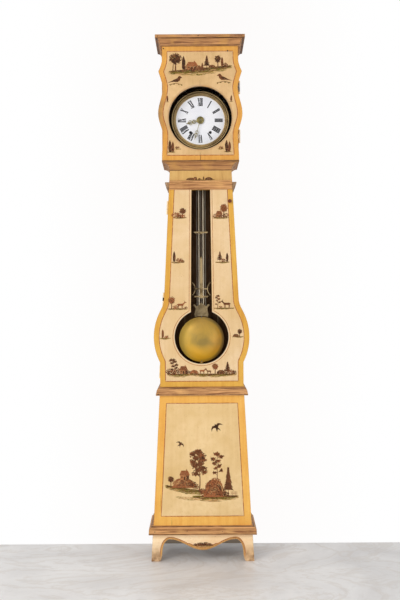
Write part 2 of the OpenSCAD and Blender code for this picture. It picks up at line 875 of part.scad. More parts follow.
bell_y = cage_front_y + 55;
bell_r = 60;
bell_h = 44;
bell_z = cage_top_z + 22;
bell_wall = 4;
module bell() {
    hole = 3;
    crown = 9;
    inner_r = bell_r - bell_wall;
    inner_h = bell_h - bell_wall;
    color("#B0905A")
        translate([0, bell_y, bell_z])
            rotate_extrude()
                polygon(concat(
                    [[inner_r, 0], [bell_r + 2, 0], [bell_r + 2, 2]],
                    [for (a = [8:9:71]) [bell_r * cos(a), bell_h * sin(a)]],
                    [[crown, bell_h], [hole, bell_h], [hole, inner_h], [crown, inner_h]],
                    [for (a = [71:-9:8]) [inner_r * cos(a), inner_h * sin(a)]]
                ));
}

module bell_stand() {
    color("#4A4642")
        translate([0, bell_y, 0]) {
            translate([0, 0, cage_top_z])
                cylinder(h = 6, r = 10);
            translate([0, 0, cage_top_z])
                cylinder(h = bell_z + bell_h - bell_wall - cage_top_z, r = 5);
            translate([0, 0, cage_top_z])
                cylinder(h = bell_z + bell_h + 12 - cage_top_z, r = 2.9);
            translate([0, 0, bell_z + bell_h])
                cylinder(h = 5, r = 6);
        }
}

hammer_arbor_r = 2.5;
hammer_y = bell_y;
hammer_head_z = bell_z + 8;
module hammer() {
    stalk_r = 2;
    head_r = 8;
    strike_gap = 4;
    tail_at = [strike_second[0] - 38, strike_second[1] + 8];
    color("#6A6258") {
        rod_y(hammer_x, hammer_z, hammer_arbor_r, cage_front_y, cage_back_y);
        translate([hammer_x, hammer_y, hammer_z])
            cylinder(h = hammer_head_z - hammer_z, r = stalk_r);
        translate([hammer_x - 8, hammer_y, hammer_head_z])
            rotate([0, 90, 0])
                cylinder(h = -bell_r - strike_gap - hammer_x + 8, r = head_r);
        slab(second_y + 4, second_y + 7)
            polygon([
                [hammer_x - 4, hammer_z - 2], [tail_at[0] - 1.5, tail_at[1]],
                [tail_at[0] + 1.5, tail_at[1] + 1], [hammer_x + 4, hammer_z + 2],
                [hammer_x, hammer_z + 4], [hammer_x - 4, hammer_z + 2]
            ]);
    }
}

// Suspension: a cock on the cage's top plate holds the spring
cock_w = 16;
cock_t = 12;
cock_foot = 20;
slot_w = 2.4;
slot_h = 16;
spring_t = 0.4;
spring_w = 8;
spring_pin_r = 1;
spring_pin_z = swing_z + 9;
module suspension_cock() {
    low_z = swing_z + 2;
    color("#6A6258") {
        difference() {
            union() {
                translate([-cock_w / 2, swing_y - cock_t / 2, cage_top_z])
                    cube([cock_w, cage_front_y + cock_foot - swing_y + cock_t / 2, 5]);
                translate([-cock_w / 2, swing_y - cock_t / 2, low_z])
                    cube([cock_w, cock_t, cage_top_z - low_z + 1]);
            }
            translate([-slot_w / 2, swing_y - cock_t / 2 - 1, low_z - 1])
                cube([slot_w, cock_t + 2, slot_h]);
        }
        spring_pin(spring_pin_r);
    }
}
module spring_pin(r) {
    translate([-cock_w / 2, swing_y, spring_pin_z])
        rotate([0, 90, 0])
            cylinder(h = cock_w, r = r);
}

// Gears

// Outline of a wheel or pinion with n teeth of module m, one tooth pointing along X
function tooth(n, m, top, root, width, a) =
    let (p = 360 / n)
    let (rr = m * n / 2 - root * m)
    let (rp = m * n / 2)
    let (rt = m * n / 2 + top * m)
    [
        [rr * cos(a - p * width * 0.62), rr * sin(a - p * width * 0.62)],
        [rp * cos(a - p * width / 2), rp * sin(a - p * width / 2)],
        [rt * cos(a - p * width * 0.2), rt * sin(a - p * width * 0.2)],
        [rt * cos(a + p * width * 0.2), rt * sin(a + p * width * 0.2)],
        [rp * cos(a + p * width / 2), rp * sin(a + p * width / 2)],
        [rr * cos(a + p * width * 0.62), rr * sin(a + p * width * 0.62)]
    ];
tooth_top = 0.8;
tooth_root = 1.25;
tooth_width = 0.4;
function gear_points(n, m) =
    [for (i = [0:n - 1]) each tooth(n, m, tooth_top, tooth_root, tooth_width, 360 * i / n)];
module gear_outline(n, m, at, turn) {
    translate(at)
        rotate(turn)
            polygon(gear_points(n, m));
}
// Turn of the follower, so that it meshes with a driver that stands at driver_turn
function mesh(a, b, driver_turn, driver_n, follower_n) =
    let (line = atan2(b[1] - a[1], b[0] - a[0]))
    line + 180 - (0.5 - (line - driver_turn) * driver_n / 360) * 360 / follower_n;
// A crossed-out wheel with four spokes
module wheel(n, m, at, turn, y, hub_r) {
    rim_r = m * n / 2 - 1.25 * m - 3;
    spoke = 3.5;
    slab(y - wheel_t / 2, y + wheel_t / 2)
        translate(at)
            rotate(turn)
                difference() {
                    polygon(gear_points(n, m));
                    difference() {
                        circle(rim_r);
                        circle(hub_r);
                        for (k = [0:1])
                            rotate(45 + 90 * k)
                                square([2 * rim_r + 2, spoke], center = true);
                    }
                }
}
module pinion(m, at, turn, y, l) {
    slab(y - l / 2, y + l / 2)
        gear_outline(leaf_n, m, at, turn);
}
// An arbor between the bars, thinned to a pivot in each bar
module arbor(at, y0, y1) {
    rod_y(at[0], at[1], arbor_r, y0 + 0.3, y1 - 0.3);
    rod_y(at[0], at[1], pivot_r, y0 - bar_t, y1 + bar_t);
}
bars_back_y = cage_back_y - bar_t;
pinion_l = 10;

going_second_turn = mesh(going_great, going_second, 0, great_n, leaf_n);
going_third_turn = mesh(going_second, going_third, 0, second_n, leaf_n);
escape_turn = mesh(going_third, escape_at, 0, third_n, leaf_n);
strike_second_turn = mesh(strike_great, strike_second, 0, great_n, leaf_n);
strike_third_turn = mesh(strike_second, strike_third, 0, second_n, leaf_n);
fly_turn = mesh(strike_third, fly_at, 0, third_n, leaf_n);

// The drum's end carries the ratchet; the great wheel turns loose on the same arbor
flange_r = drum_r + 6;
ratchet_r = 20;
ratchet_n = 16;
ratchet_t = 3;
ratchet_y = great_y + wheel_t / 2 + 3;
module drum_on(at) {
    rod_y(at[0], at[1], wind_r, dial_face_y + 3, drum_y + drum_l);
    rod_y(at[0], at[1], pivot_r, drum_y + drum_l, cage_back_y);
    rod_y(at[0], at[1], drum_r, drum_y, drum_y + drum_l);
    rod_y(at[0], at[1], flange_r, drum_y, drum_y + 2);
    rod_y(at[0], at[1], flange_r, drum_y + drum_l - 2, drum_y + drum_l);
    slab(ratchet_y, drum_y)
        translate(at)
            polygon([for (i = [0:ratchet_n - 1]) let (a = 360 * i / ratchet_n) each [
                [ratchet_r * cos(a), ratchet_r * sin(a)],
                [(ratchet_r - 4) * cos(a + 1), (ratchet_r - 4) * sin(a + 1)]
            ]]);
}
module great_wheel_on(at, side) {
    difference() {
        union() {
            wheel(great_n, great_m, at, 0, great_y, 12);
            rod_y(at[0], at[1], 9, great_y - 5, ratchet_y - 0.3);
            // click, held just clear of the ratchet
            slab(great_y + 1, ratchet_y + ratchet_t - 0.5)
                translate(at)
                    rotate(side * 45)
                        translate([ratchet_r + 0.6, -4])
                            polygon([[0, 0], [0, 2], [6, 10], [11, 10], [11, 4], [6, 0]]);
        }
        rod_y(at[0], at[1], wind_r + run_gap, great_y - 20, great_y + 20);
    }
}

module going_drum() {
    color("#A88A50")
        drum_on(going_great);
}
module strike_drum() {
    color("#A88A50")
        drum_on(strike_great);
}
module going_great_wheel() {
    color("#C0A050")
        great_wheel_on(going_great, 1);
}
module strike_great_wheel() {
    color("#C0A050")
        great_wheel_on(strike_great, 3);
}
module going_second_wheel() {
    color("#C0A050") {
        arbor(going_second, bars_in_y, bars_back_y);
        pinion(great_m, going_second, going_second_turn, great_y, pinion_l);
        wheel(second_n, second_m, going_second, 0, second_y, 7);
    }
}
module strike_pin_wheel() {
    pins = 8;
    color("#C0A050") {
        arbor(strike_second, bars_in_y, bars_back_y);
        pinion(great_m, strike_second, strike_second_turn, great_y, pinion_l);
        wheel(second_n, second_m, strike_second, 0, second_y, 7);
        for (i = [0:pins - 1])
            rod_y(strike_second[0] + 26 * cos(360 * i / pins), strike_second[1] + 26 * sin(360 * i / pins),
                1, second_y, second_y + 7);
    }
}
module going_third_wheel() {
    color("#C0A050") {
        arbor(going_third, bars_in_y, bars_back_y);
        pinion(second_m, going_third, going_third_turn, second_y, pinion_l);
        wheel(third_n, third_m, going_third, 0, third_y, 6);
    }
}
module strike_third_wheel() {
    color("#C0A050") {
        arbor(strike_third, bars_in_y, bars_back_y);
        pinion(second_m, strike_third, strike_third_turn, second_y, pinion_l);
        wheel(third_n, third_m, strike_third, 0, third_y, 6);
    }
}
module escape_wheel() {
    step = 360 / escape_n;
    root_r = escape_r - 4;
    color("#C0A050") {
        arbor(escape_at, bars_in_y, bars_back_y);
        pinion(third_m, escape_at, escape_turn, third_y, pinion_l);
        slab(escape_y - 1.25, escape_y + 1.25)
            translate(escape_at)
                difference() {
                    polygon([for (i = [0:escape_n - 1]) let (a = step * i) each [
                        [root_r * cos(a), root_r * sin(a)],
                        [escape_r * cos(a + step * 0.08), escape_r * sin(a + step * 0.08)],
                        [escape_r * cos(a + step * 0.16), escape_r * sin(a + step * 0.16)],
                        [root_r * cos(a + step * 0.7), root_r * sin(a + step * 0.7)]
                    ]]);
                    difference() {
                        circle(root_r - 2.5);
                        circle(6);
                        for (k = [0:1])
                            rotate(45 + 90 * k)
                                square([2 * root_r, 3], center = true);
                    }
                }
    }
}

crutch_y = swing_y + 7;
pallet_gap = 2;
module anchor() {
    color("#8A8478") {
        rod_y(0, swing_z, arbor_r, bars_in_y + 0.3, bars_back_y - 0.3);
        rod_y(0, swing_z, pivot_r, crutch_y - 1, cage_back_y);
        slab(escape_y - 2, escape_y + 2)
            translate([0, swing_z])
                difference() {
                    union() {
                        circle(6);
                        polygon(concat(
                            arc(0, escape_at[1] - swing_z, escape_r + pallet_gap + 5, 38, 142, 14),
                            arc(0, escape_at[1] - swing_z, escape_r + pallet_gap, 142, 38, 14)
                        ));
                        translate([-3, escape_at[1] - swing_z + escape_r + pallet_gap + 1])
                            square([6, swing_z - escape_at[1] - escape_r - pallet_gap]);
                    }
                }
        slab(crutch_y - 1, crutch_y + 1.5)
            difference() {
                translate([-5, swing_z - 36])
                    square([10, 39]);
                translate([-yoke_pin_r - 0.4, swing_z - 37])
                    square([2 * yoke_pin_r + 0.8, 12]);
            }
    }
}

module fly() {
    blade_l = 20;
    blade_w = 16;
    color("#B09040") {
        arbor(fly_at, bars_in_y, bars_back_y);
        pinion(third_m, fly_at, fly_turn, third_y, pinion_l);
        rod_y(fly_at[0], fly_at[1], 4, bars_in_y + 38, bars_in_y + 38 + blade_w);
        translate([fly_at[0] - blade_l, bars_in_y + 38, fly_at[1] - 0.6])
            cube([2 * blade_l, blade_w, 1.2]);
    }
}

// Motion work and hands

cannon_n = 12;
motion_n = 36;
motion_m = 1.0;
motion_leaf_n = 10;
hour_n = 40;
hour_m = 0.96;
cannon_r = 3.2;
hour_pipe_r = 5;
motion_wheel_y = dial_back_y + 11;
hour_wheel_y = dial_back_y + 4;
minute_y = dial_face_y - 13;
hour_y = dial_face_y - 6;
motion_turn = mesh([0, dial_z], motion_at, 0, cannon_n, motion_n);
hour_turn = mesh(motion_at, [0, dial_z], 0, motion_leaf_n, hour_n);
module cannon_pinion() {
    color("#C0A050") {
        rod_y(0, dial_z, hand_r, minute_y - 3, bars_in_y + boss_l / 2);
        rod_y(0, dial_z, cannon_r, minute_y + hand_t, motion_wheel_y + 3);
        slab(motion_wheel_y - 2, motion_wheel_y + 3)
            gear_outline(cannon_n, motion_m, [0, dial_z], 0);
    }
}
module motion_wheel() {
    color("#C0A050")
        difference() {
            union() {
                wheel(motion_n, motion_m, motion_at, motion_turn, motion_wheel_y, 5);
                rod_y(motion_at[0], motion_at[1], 3.6, hour_wheel_y + 1, motion_wheel_y + 4);
                slab(hour_wheel_y - 2, hour_wheel_y + 2)
                    gear_outline(motion_leaf_n, hour_m, motion_at, 0);
            }
            rod_y(motion_at[0], motion_at[1], stud_r + run_gap, dial_back_y, cage_front_y);
        }
}
module hour_wheel() {
    color("#C0A050")
        difference() {
            union() {
                slab(hour_wheel_y - 1.25, hour_wheel_y + 1.25)
                    gear_outline(hour_n, hour_m, [0, dial_z], hour_turn);
                rod_y(0, dial_z, hour_pipe_r, hour_y - boss_rise, hour_wheel_y + 3);
            }
            rod_y(0, dial_z, cannon_r + run_gap, hour_y - 5, hour_wheel_y + 5);
        }
}
hand_t = 1.2;
hub_r = 17;
boss_rise = 3;
nut_r = 5.5;
// Pierced hand drawn pointing up, with its hub at the origin
module hand_shape(l, hub, stem, ring_at, ring, tip_w) {
    circle(hub);
    translate([-stem / 2, 0])
        square([stem, ring_at + ring * 1.2]);
    for (side = [-1, 1])
        translate([side * ring * 0.95, ring_at])
            difference() {
                circle(ring);
                circle(ring * 0.62);
            }
    polygon([
        [0, ring_at + ring * 0.6], [-tip_w, ring_at + ring * 1.9], [-tip_w * 0.3, ring_at + ring * 2.6],
        [0, l], [tip_w * 0.3, ring_at + ring * 2.6], [tip_w, ring_at + ring * 1.9]
    ]);
}
module hour_hand() {
    color("#9A8340")
        difference() {
            union() {
                slab(hour_y, hour_y + hand_t)
                    translate([0, dial_z])
                        rotate(-hour_at)
                            hand_shape(hour_l, hub_r, 4, 36, 9, 7);
                // stepped boss over the hour pipe
                turned(0, dial_z)
                    polygon([
                        [0, hour_y + hand_t / 2], [hub_r - 2, hour_y + hand_t / 2],
                        [hub_r - 2, hour_y - 0.5], [hub_r - 2.5, hour_y - 1],
                        [hub_r - 5, hour_y - 1.4], [hub_r - 6, hour_y - 2.2],
                        [hub_r - 9, hour_y - 2.6], [0, hour_y - boss_rise]
                    ]);
            }
            rod_y(0, dial_z, hour_pipe_r, hour_y - boss_rise - 1, hour_y + hand_t + 1);
        }
}
module minute_hand() {
    color("#9A8340")
        difference() {
            union() {
                slab(minute_y, minute_y + hand_t)
                    translate([0, dial_z])
                        rotate(-minute_at)
                            hand_shape(minute_l, 7, 3.2, 64, 7, 4.5);
                // nut on the end of the hand arbor
                turned(0, dial_z)
                    polygon([
                        [0, minute_y + hand_t / 2], [nut_r, minute_y + hand_t / 2], [nut_r, minute_y - 1.2],
                        [nut_r - 1.5, minute_y - 2.4], [0, minute_y - 2.8]
                    ]);
            }
            rod_y(0, dial_z, hand_r, minute_y - 5, minute_y + 5);
        }
}

// Pendulum

yoke_pin_r = 1.5;
yoke_z = swing_z - 27;
yoke_h = 8;
grid_top_z = dial_z - 66;
cross_h = 8;
bob_gap = 4;
rod_foot_z = bob_z + bob_r + bob_gap + 2;
cross_z = [grid_top_z, rod_foot_z + 380, rod_foot_z + 86];
grid_hw = 2 * rod_gap + rod_r;
rod_end_z = bob_z - bob_r - 28;
centre_rod_r = rod_r * 0.85;
module suspension_spring() {
    color("#B8B4A8")
        difference() {
            translate([-spring_t / 2, swing_y - spring_w / 2, yoke_z])
                cube([spring_t, spring_w, spring_pin_z + 3.5 - yoke_z]);
            spring_pin(spring_pin_r + run_gap);
        }
}
// The five rods; the middle one runs on through the bob to the rating nut
module grid_rods() {
    for (i = [-2, 2])
        translate([i * rod_gap, swing_y, rod_foot_z])
            cylinder(h = yoke_z - rod_foot_z, r = rod_r);
    for (i = [-1, 1])
        translate([i * rod_gap, swing_y, rod_foot_z])
            cylinder(h = grid_top_z - rod_foot_z, r = rod_r);
    translate([0, swing_y, rod_end_z])
        cylinder(h = grid_top_z - rod_end_z, r = centre_rod_r);
}
module pendulum_rods() {
    color("#B8AE98")
        grid_rods();
}
module pendulum_crossbars() {
    bar_hw = grid_hw + 10;
    half_t = rod_r + 1.5;
    plate_hw = rod_gap - rod_r - 0.5;
    plate_top_z = cross_z[2] + 184;
    horn_z = cross_z[2] + 36;
    horn_r = 37.5;
    horn_x = 28 + horn_r;
    horn_w = 3;
    collar_top_z = rod_foot_z + 56;
    color("#A08850")
        difference() {
            union() {
                // yoke that the spring carries
                translate([-grid_hw - 2, swing_y - 5, yoke_z - yoke_h / 2])
                    cube([2 * grid_hw + 4, 10, yoke_h]);
                rod_y(0, yoke_z, yoke_pin_r, swing_y + 4, crutch_y + 3);
                for (z = cross_z)
                    slab(swing_y - half_t, swing_y + half_t)
                        polygon([
                            [-bar_hw, z + cross_h / 2], [bar_hw, z + cross_h / 2], [bar_hw, z + 1],
                            [bar_hw - 5, z - cross_h / 2], [bar_hw - 11, z - cross_h / 4],
                            [7, z - cross_h / 2], [0, z - cross_h], [-7, z - cross_h / 2],
                            [11 - bar_hw, z - cross_h / 4], [5 - bar_hw, z - cross_h / 2], [-bar_hw, z + 1]
                        ]);
                // plate over the middle rod, and at its foot a bar with two curved horns
                slab(swing_y - half_t, swing_y) {
                    polygon(mirrored([
                        [plate_hw, cross_z[2] + 2], [plate_hw - 1, plate_top_z - 12], [1, plate_top_z]
                    ]));
                    translate([0, horn_z])
                        square([2 * (horn_x - horn_r), 4], center = true);
                    translate([0, horn_z + 8])
                        circle(8);
                    for (side = [-1, 1])
                        translate([side * horn_x, horn_z])
                            intersection() {
                                difference() {
                                    circle(horn_r + horn_w / 2, $fn = 96);
                                    circle(horn_r - horn_w / 2, $fn = 96);
                                }
                                translate([-side * horn_r, 0])
                                    square([2 * horn_r - 2 * horn_w, 1.55 * horn_r], center = true);
                            }
                }
                // flared collar over the feet of the rods
                slab(swing_y - half_t - 2, swing_y + half_t)
                    difference() {
                        polygon(mirrored([
                            [8, rod_foot_z - 9], [29, rod_foot_z - 8], [32, rod_foot_z + 6],
                            [28, rod_foot_z + 20], [27, rod_foot_z + 32], [31, collar_top_z - 16],
                            [37, collar_top_z - 10], [36, collar_top_z - 5], [31, collar_top_z - 4],
                            [25, collar_top_z - 11], [20, collar_top_z - 14], [14, collar_top_z - 8],
                            [7, collar_top_z - 6], [4, collar_top_z]
                        ]));
                        translate([0, bob_z])
                            circle(bob_r + bob_gap);
                    }
            }
            grid_rods();
            translate([-spring_t / 2, swing_y - spring_w / 2, yoke_z])
                cube([spring_t, spring_w, yoke_h]);
        }
}
module pendulum_bob() {
    sphere_r = (bob_r * bob_r + bob_half_t * bob_half_t) / (2 * bob_half_t);
    color("#C8A63E")
        difference() {
            translate([0, swing_y, bob_z])
                intersection() {
                    translate([0, bob_half_t - sphere_r, 0])
                        sphere(sphere_r, $fn = 200);
                    translate([0, sphere_r - bob_half_t, 0])
                        sphere(sphere_r, $fn = 200);
                }
            translate([0, swing_y, bob_z - bob_r - 1])
                cylinder(h = 2 * bob_r + 2, r = centre_rod_r + run_gap);
        }
}
module rating_nut() {
    nut_h = 12;
    wing = 9;
    color("#A08850")
        translate([0, swing_y, bob_z - bob_r - nut_h - 1])
            difference() {
                cylinder(h = nut_h, r = wing);
                translate([0, 0, -1])
                    cylinder(h = nut_h + 2, r = centre_rod_r + run_gap);
            }
}

// Weights

stem_l = 26;
knob_ball_r = 6;
module weight_on(side) {
    top_z = weight_z + weight_h;
    color("#4A4642")
        translate([side * line_x, line_y, 0]) {
            translate([0, 0, weight_z])
                cylinder(h = weight_h, r = weight_r);
            translate([0, 0, top_z])
                cylinder(h = stem_l, r = 3);
            translate([0, 0, top_z + stem_l])
                sphere(knob_ball_r);
        }
}
module going_weight() {
    weight_on(1);
}
module strike_weight() {
    weight_on(-1);
}
module line_on(side) {
    low = weight_z + weight_h + stem_l + knob_ball_r + 0.1;
    color("#B8A880")
        translate([side * line_x, line_y, low])
            cylinder(h = drum_z - low, r = line_r);
}
module going_line() {
    line_on(1);
}
module strike_line() {
    line_on(-1);
}

base_front_panel();
base_sides();
base_floor();
base_moulding();
apron_front();
apron_sides();
back_boards();
mid_moulding();
trunk_sides();
neck_returns();
frieze_board();
head_cove();
head_sides();
head_top();
crown_moulding();
seat_board();
head_door_board();
bezel();
dial_glass();
head_hinge_case();
head_hinge_door();
trunk_door_board();
neck_moulding();
trunk_hinge_case();
trunk_hinge_door();
trunk_knob();
latch_tongue();
movement_cage();
train_bars();
dial();
bell();
bell_stand();
hammer();
suspension_cock();
going_drum();
going_great_wheel();
going_second_wheel();
going_third_wheel();
escape_wheel();
anchor();
strike_drum();
strike_great_wheel();
strike_pin_wheel();
strike_third_wheel();
fly();
cannon_pinion();
motion_wheel();
hour_wheel();
minute_hand();
hour_hand();
suspension_spring();
pendulum_rods();
pendulum_crossbars();
pendulum_bob();
rating_nut();
going_weight();
strike_weight();
going_line();
strike_line();
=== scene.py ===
"""Looks of a painted longcase clock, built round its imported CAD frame.

Drawing sizes are in millimetres, meshes in metres. +Z is up and the dial faces -Y.
"""
import logging
import math
import random
from collections.abc import Iterable, Sequence
from dataclasses import dataclass
from enum import Enum
from functools import partial
from typing import Any, ClassVar

import bmesh
import bpy
from mathutils import Matrix, Vector
from mathutils.geometry import tessellate_polygon


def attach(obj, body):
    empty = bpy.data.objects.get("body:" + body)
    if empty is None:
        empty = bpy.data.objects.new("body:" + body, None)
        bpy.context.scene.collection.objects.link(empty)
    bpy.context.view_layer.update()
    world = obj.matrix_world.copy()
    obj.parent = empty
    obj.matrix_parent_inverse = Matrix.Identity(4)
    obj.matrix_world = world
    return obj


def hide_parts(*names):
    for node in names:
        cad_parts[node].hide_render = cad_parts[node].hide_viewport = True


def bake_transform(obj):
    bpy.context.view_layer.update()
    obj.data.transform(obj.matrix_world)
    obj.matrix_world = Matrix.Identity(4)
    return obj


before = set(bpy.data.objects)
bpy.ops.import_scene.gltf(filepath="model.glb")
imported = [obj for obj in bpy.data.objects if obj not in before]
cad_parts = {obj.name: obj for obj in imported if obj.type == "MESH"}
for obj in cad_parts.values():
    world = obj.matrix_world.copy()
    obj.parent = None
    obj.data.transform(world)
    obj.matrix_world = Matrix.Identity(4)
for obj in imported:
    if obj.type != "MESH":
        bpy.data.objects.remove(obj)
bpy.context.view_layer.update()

MM = 0.001
log = logging.getLogger("longcase_clock")

Point = tuple[float, float]
Point3 = tuple[float, float, float]
Colour = tuple[float, float, float, float]
Socket = bpy.types.NodeSocket
Material = bpy.types.Material
Mesh = bpy.types.Mesh

# Heights, depths and half widths that part.scad gives the case, in millimetres
BASE_FACE_Y, TRUNK_FACE_Y, HEAD_FACE_Y = -118.0, -112.0, -124.0
TRUNK_BACK_Y, HEAD_BACK_Y, BOARD_BACK_Y = -92.5, -104.5, 140.0
APRON_TOP_Z, BASE_TOP_Z, MID_TOP_Z = 123.0, 745.0, 782.0
NECK_Z, NECK_TOP_Z, FRIEZE_TOP_Z, HEAD_Z, CROWN_Z = 1669.0, 1709.0, 1755.0, 1799.0, 2311.0
BASE_HALF, TRUNK_HALF, HEAD_HALF = 222.0, 187.5, 172.0
BASE_SLOPE = (BASE_HALF - 190.0) / (BASE_TOP_Z - APRON_TOP_Z)
TRUNK_SLOPE = (TRUNK_HALF - 139.0) / (FRIEZE_TOP_Z - MID_TOP_Z)
BELLY_Z, BELLY_HALF, BELLY_R, WINDOW_R = 1007.0, 215.0, 250.0, 121.0
SLOT_LOW, SLOT_TOP = 49.0, 42.0
DIAL_Z, DIAL_HOLE_R, DIAL_FACE_Y = 1990.0, 141.0, -62.0
HINGE_ZS = (DIAL_Z - 81, DIAL_Z + 139)
SWING_Y, BOB_Z, BOB_R, BOB_HALF_T = -34.0, 993.0, 103.0, 19.0
LINE_X, LINE_Y, LINE_TOP_Z, LINE_LOW_Z = 76.8, 38.0, 1935.0, 492.1
# Waves in a metre of a turned surface's fine marks
TURNING = 5200.0


def linear(code: str) -> Colour:
    """Turns a colour of six hexadecimal digits into scene-linear red, green, blue and alpha."""
    parts = [int(code[i : i + 2], 16) / 255 for i in (0, 2, 4)]
    red, green, blue = (c / 12.92 if c <= 0.04045 else ((c + 0.055) / 1.055) ** 2.4 for c in parts)
    return red, green, blue, 1.0


def shares(count: int) -> list[float]:
    """Returns even shares from 0 to 1, both included, for count steps."""
    return [i / count for i in range(count + 1)]


def round_angles(count: int) -> list[float]:
    """Returns even angles of a full turn, in radians."""
    return [2 * math.pi * i / count for i in range(count)]


def base_half(z: float) -> float:
    """Half width of the base box at a height."""
    return BASE_HALF - BASE_SLOPE * (z - APRON_TOP_Z)


def trunk_half(z: float) -> float:
    """Half width of the trunk box at a height."""
    return TRUNK_HALF - TRUNK_SLOPE * (z - MID_TOP_Z)


# --------------------------------------------------------------- finishes


class NodeSheet:
    """Adds the nodes of one tree."""

    PREFIX = ""

    def __init__(self, tree: bpy.types.NodeTree) -> None:
        """Keeps the tree; named holds the sockets that a string among a node's inputs may stand for."""
        self.tree = tree
        self.named: dict[str, Socket] = {}

    def add(self, kind: str, inputs: dict[Any, Any] | None = None, **settings: Any) -> bpy.types.Node:
        """Adds one node.

        Args:
            kind: the node's type, without the sheet's prefix.
            inputs: values or sockets by input name or number.
            settings: properties of the node.

        Returns:
            The new node.
        """
        node = self.tree.nodes.new(self.PREFIX + kind)
        for name, value in settings.items():
            setattr(node, name, value)
        for key, value in (inputs or {}).items():
            value = self.named[value] if isinstance(value, str) else value
            if isinstance(value, Socket):
                self.tree.links.new(value, node.inputs[key])
            else:
                node.inputs[key].default_value = value
        return node


class Bench(NodeSheet):
    """Lays out the shader nodes of one material or world."""

    PREFIX = "ShaderNode"

    def __init__(self, owner: Material | bpy.types.World) -> None:
        """Empties the owner's tree."""
        owner.use_nodes = True
        owner.node_tree.nodes.clear()
        super().__init__(owner.node_tree)
        self.owner = owner

    @property
    def place(self) -> Socket:
        """Object coordinates, from one node."""
        node = self.tree.nodes.get("place") or self.add("TexCoord", name="place")
        return node.outputs["Object"]

    def noise(self, scale: float, detail: float = 4.0, stretch: Sequence[float] | None = None,
              distort: float = 0.0, rough: float = 0.55) -> Socket:
        """Returns a noise value.

        Args:
            scale: number of features in a metre.
            detail: octaves.
            stretch: scale along each axis, for grain.
            distort: how much the pattern is warped.
            rough: strength of the fine octaves.

        Returns:
            The socket with the value.
        """
        where = self.place
        if stretch:
            where = self.add("Mapping", {"Vector": where, "Scale": stretch}).outputs[0]
        return self.add("TexNoise", {"Vector": where, "Scale": scale, "Detail": detail,
                                     "Distortion": distort, "Roughness": rough}).outputs["Fac"]

    def span(self, value: Any, low: float, high: float, to: Point = (0.0, 1.0)) -> Socket:
        """Maps a value from low..high to the range given, and clamps it."""
        return self.add("MapRange", {"Value": value, "From Min": low, "From Max": high,
                                     "To Min": to[0], "To Max": to[1]}, clamp=True).outputs[0]

    def calc(self, kind: str, a: Any, b: Any = 0.0) -> Socket:
        """Returns one arithmetic operation on two values."""
        return self.add("Math", {0: a, 1: b}, operation=kind).outputs[0]

    def times(self, a: Any, b: Any) -> Socket:
        """Returns the product of two values."""
        return self.calc("MULTIPLY", a, b)

    def most(self, a: Any, b: Any) -> Socket:
        """Returns the larger of two values."""
        return self.calc("MAXIMUM", a, b)

    def gap(self, a: Any, b: Any = 0.0) -> Socket:
        """Returns how far apart two values are."""
        return self.calc("ABSOLUTE", self.calc("SUBTRACT", a, b))

    def mix(self, share: Any, a: Any, b: Any, blend: str = "MIX") -> Socket:
        """Mixes two colours, each a socket or a code such as "E8B455"."""
        a, b = (linear(c) if isinstance(c, str) else c for c in (a, b))
        return self.add("Mix", {0: share, 6: a, 7: b}, data_type="RGBA", blend_type=blend,
                        clamp_factor=True).outputs[2]

    def coats(self, ground: Any, *coats: tuple[Any, float, float, float, Any]) -> Socket:
        """Lays coats of colour over a ground.

        Args:
            ground: a socket or a colour code.
            coats: for each, the value that brings it in, where it starts, where it is full, its
                greatest share and its colour.

        Returns:
            The resulting colour.
        """
        for value, start, full, share, colour in coats:
            ground = self.mix(self.span(value, start, full, (0.0, share)), ground, colour)
        return ground

    def axis(self, which: str) -> Socket:
        """Returns one of the object coordinates X, Y or Z, in metres."""
        return self.add("SeparateXYZ", {0: self.place}).outputs[which]

    def vector(self, kind: str, a: Any, b: Any = (0.0, 0.0, 0.0), out: str = "Vector") -> Socket:
        """Returns one operation on two vectors."""
        return self.add("VectorMath", {0: a, 1: b}, operation=kind).outputs[out]

    def worn_edge(self, radius: float) -> Socket:
        """Returns 1 on sharp edges and 0 on flat ground, from the difference that a bevel makes."""
        rounded = self.add("Bevel", {"Radius": radius}, samples=6).outputs[0]
        match = self.vector("DOT_PRODUCT", rounded, self.add("NewGeometry").outputs["Normal"], "Value")
        return self.span(match, 0.995, 0.86)

    def away(self, x: float, z: float, squeeze: Point3 = (1.0, 0.0, 1.0)) -> Socket:
        """Returns the distance from a line along Y, in metres, shortened along each axis by squeeze."""
        flat = self.vector("MULTIPLY", self.vector("SUBTRACT", self.place, (x, 0.0, z)), squeeze)
        return self.vector("LENGTH", flat, out="Value")

    def bump(self, height: Any, strength: float, distance: float, over: Socket | None = None) -> Socket:
        """Returns a normal that carries the height, over another normal where one is given."""
        inputs = {"Height": height, "Strength": strength, "Distance": distance}
        return self.add("Bump", inputs | ({"Normal": over} if over else {})).outputs[0]

    def turning(self, off: Socket, height: float) -> Socket:
        """Returns fine turning marks of the given height, from the distance to the turned line."""
        return self.times(self.calc("SINE", self.times(off, TURNING)), height)

    def finish(self, **inputs: Any) -> Material:
        """Ends in a Principled surface; inputs are its own, with _ for a space in the name."""
        shader = self.add("BsdfPrincipled", {key.replace("_", " "): value for key, value in inputs.items()})
        self.add("OutputMaterial", {"Surface": shader.outputs[0]})
        return self.owner


@dataclass(frozen=True)
class Finish:
    """A named finish; each kind of finish lays out its own nodes."""

    name: str

    def make(self) -> Material:
        """Builds the material."""
        return self.lay(Bench(bpy.data.materials.new(self.name)))

    def lay(self, bench: Bench) -> Material:
        """Lays out the nodes on the bench and returns the material."""
        raise NotImplementedError


class Grain(Enum):
    """Direction that the wood's fibres run in."""

    UPRIGHT = (70.0, 70.0, 3.0)
    LEVEL = (3.0, 70.0, 70.0)
    DEEP = (70.0, 3.0, 70.0)


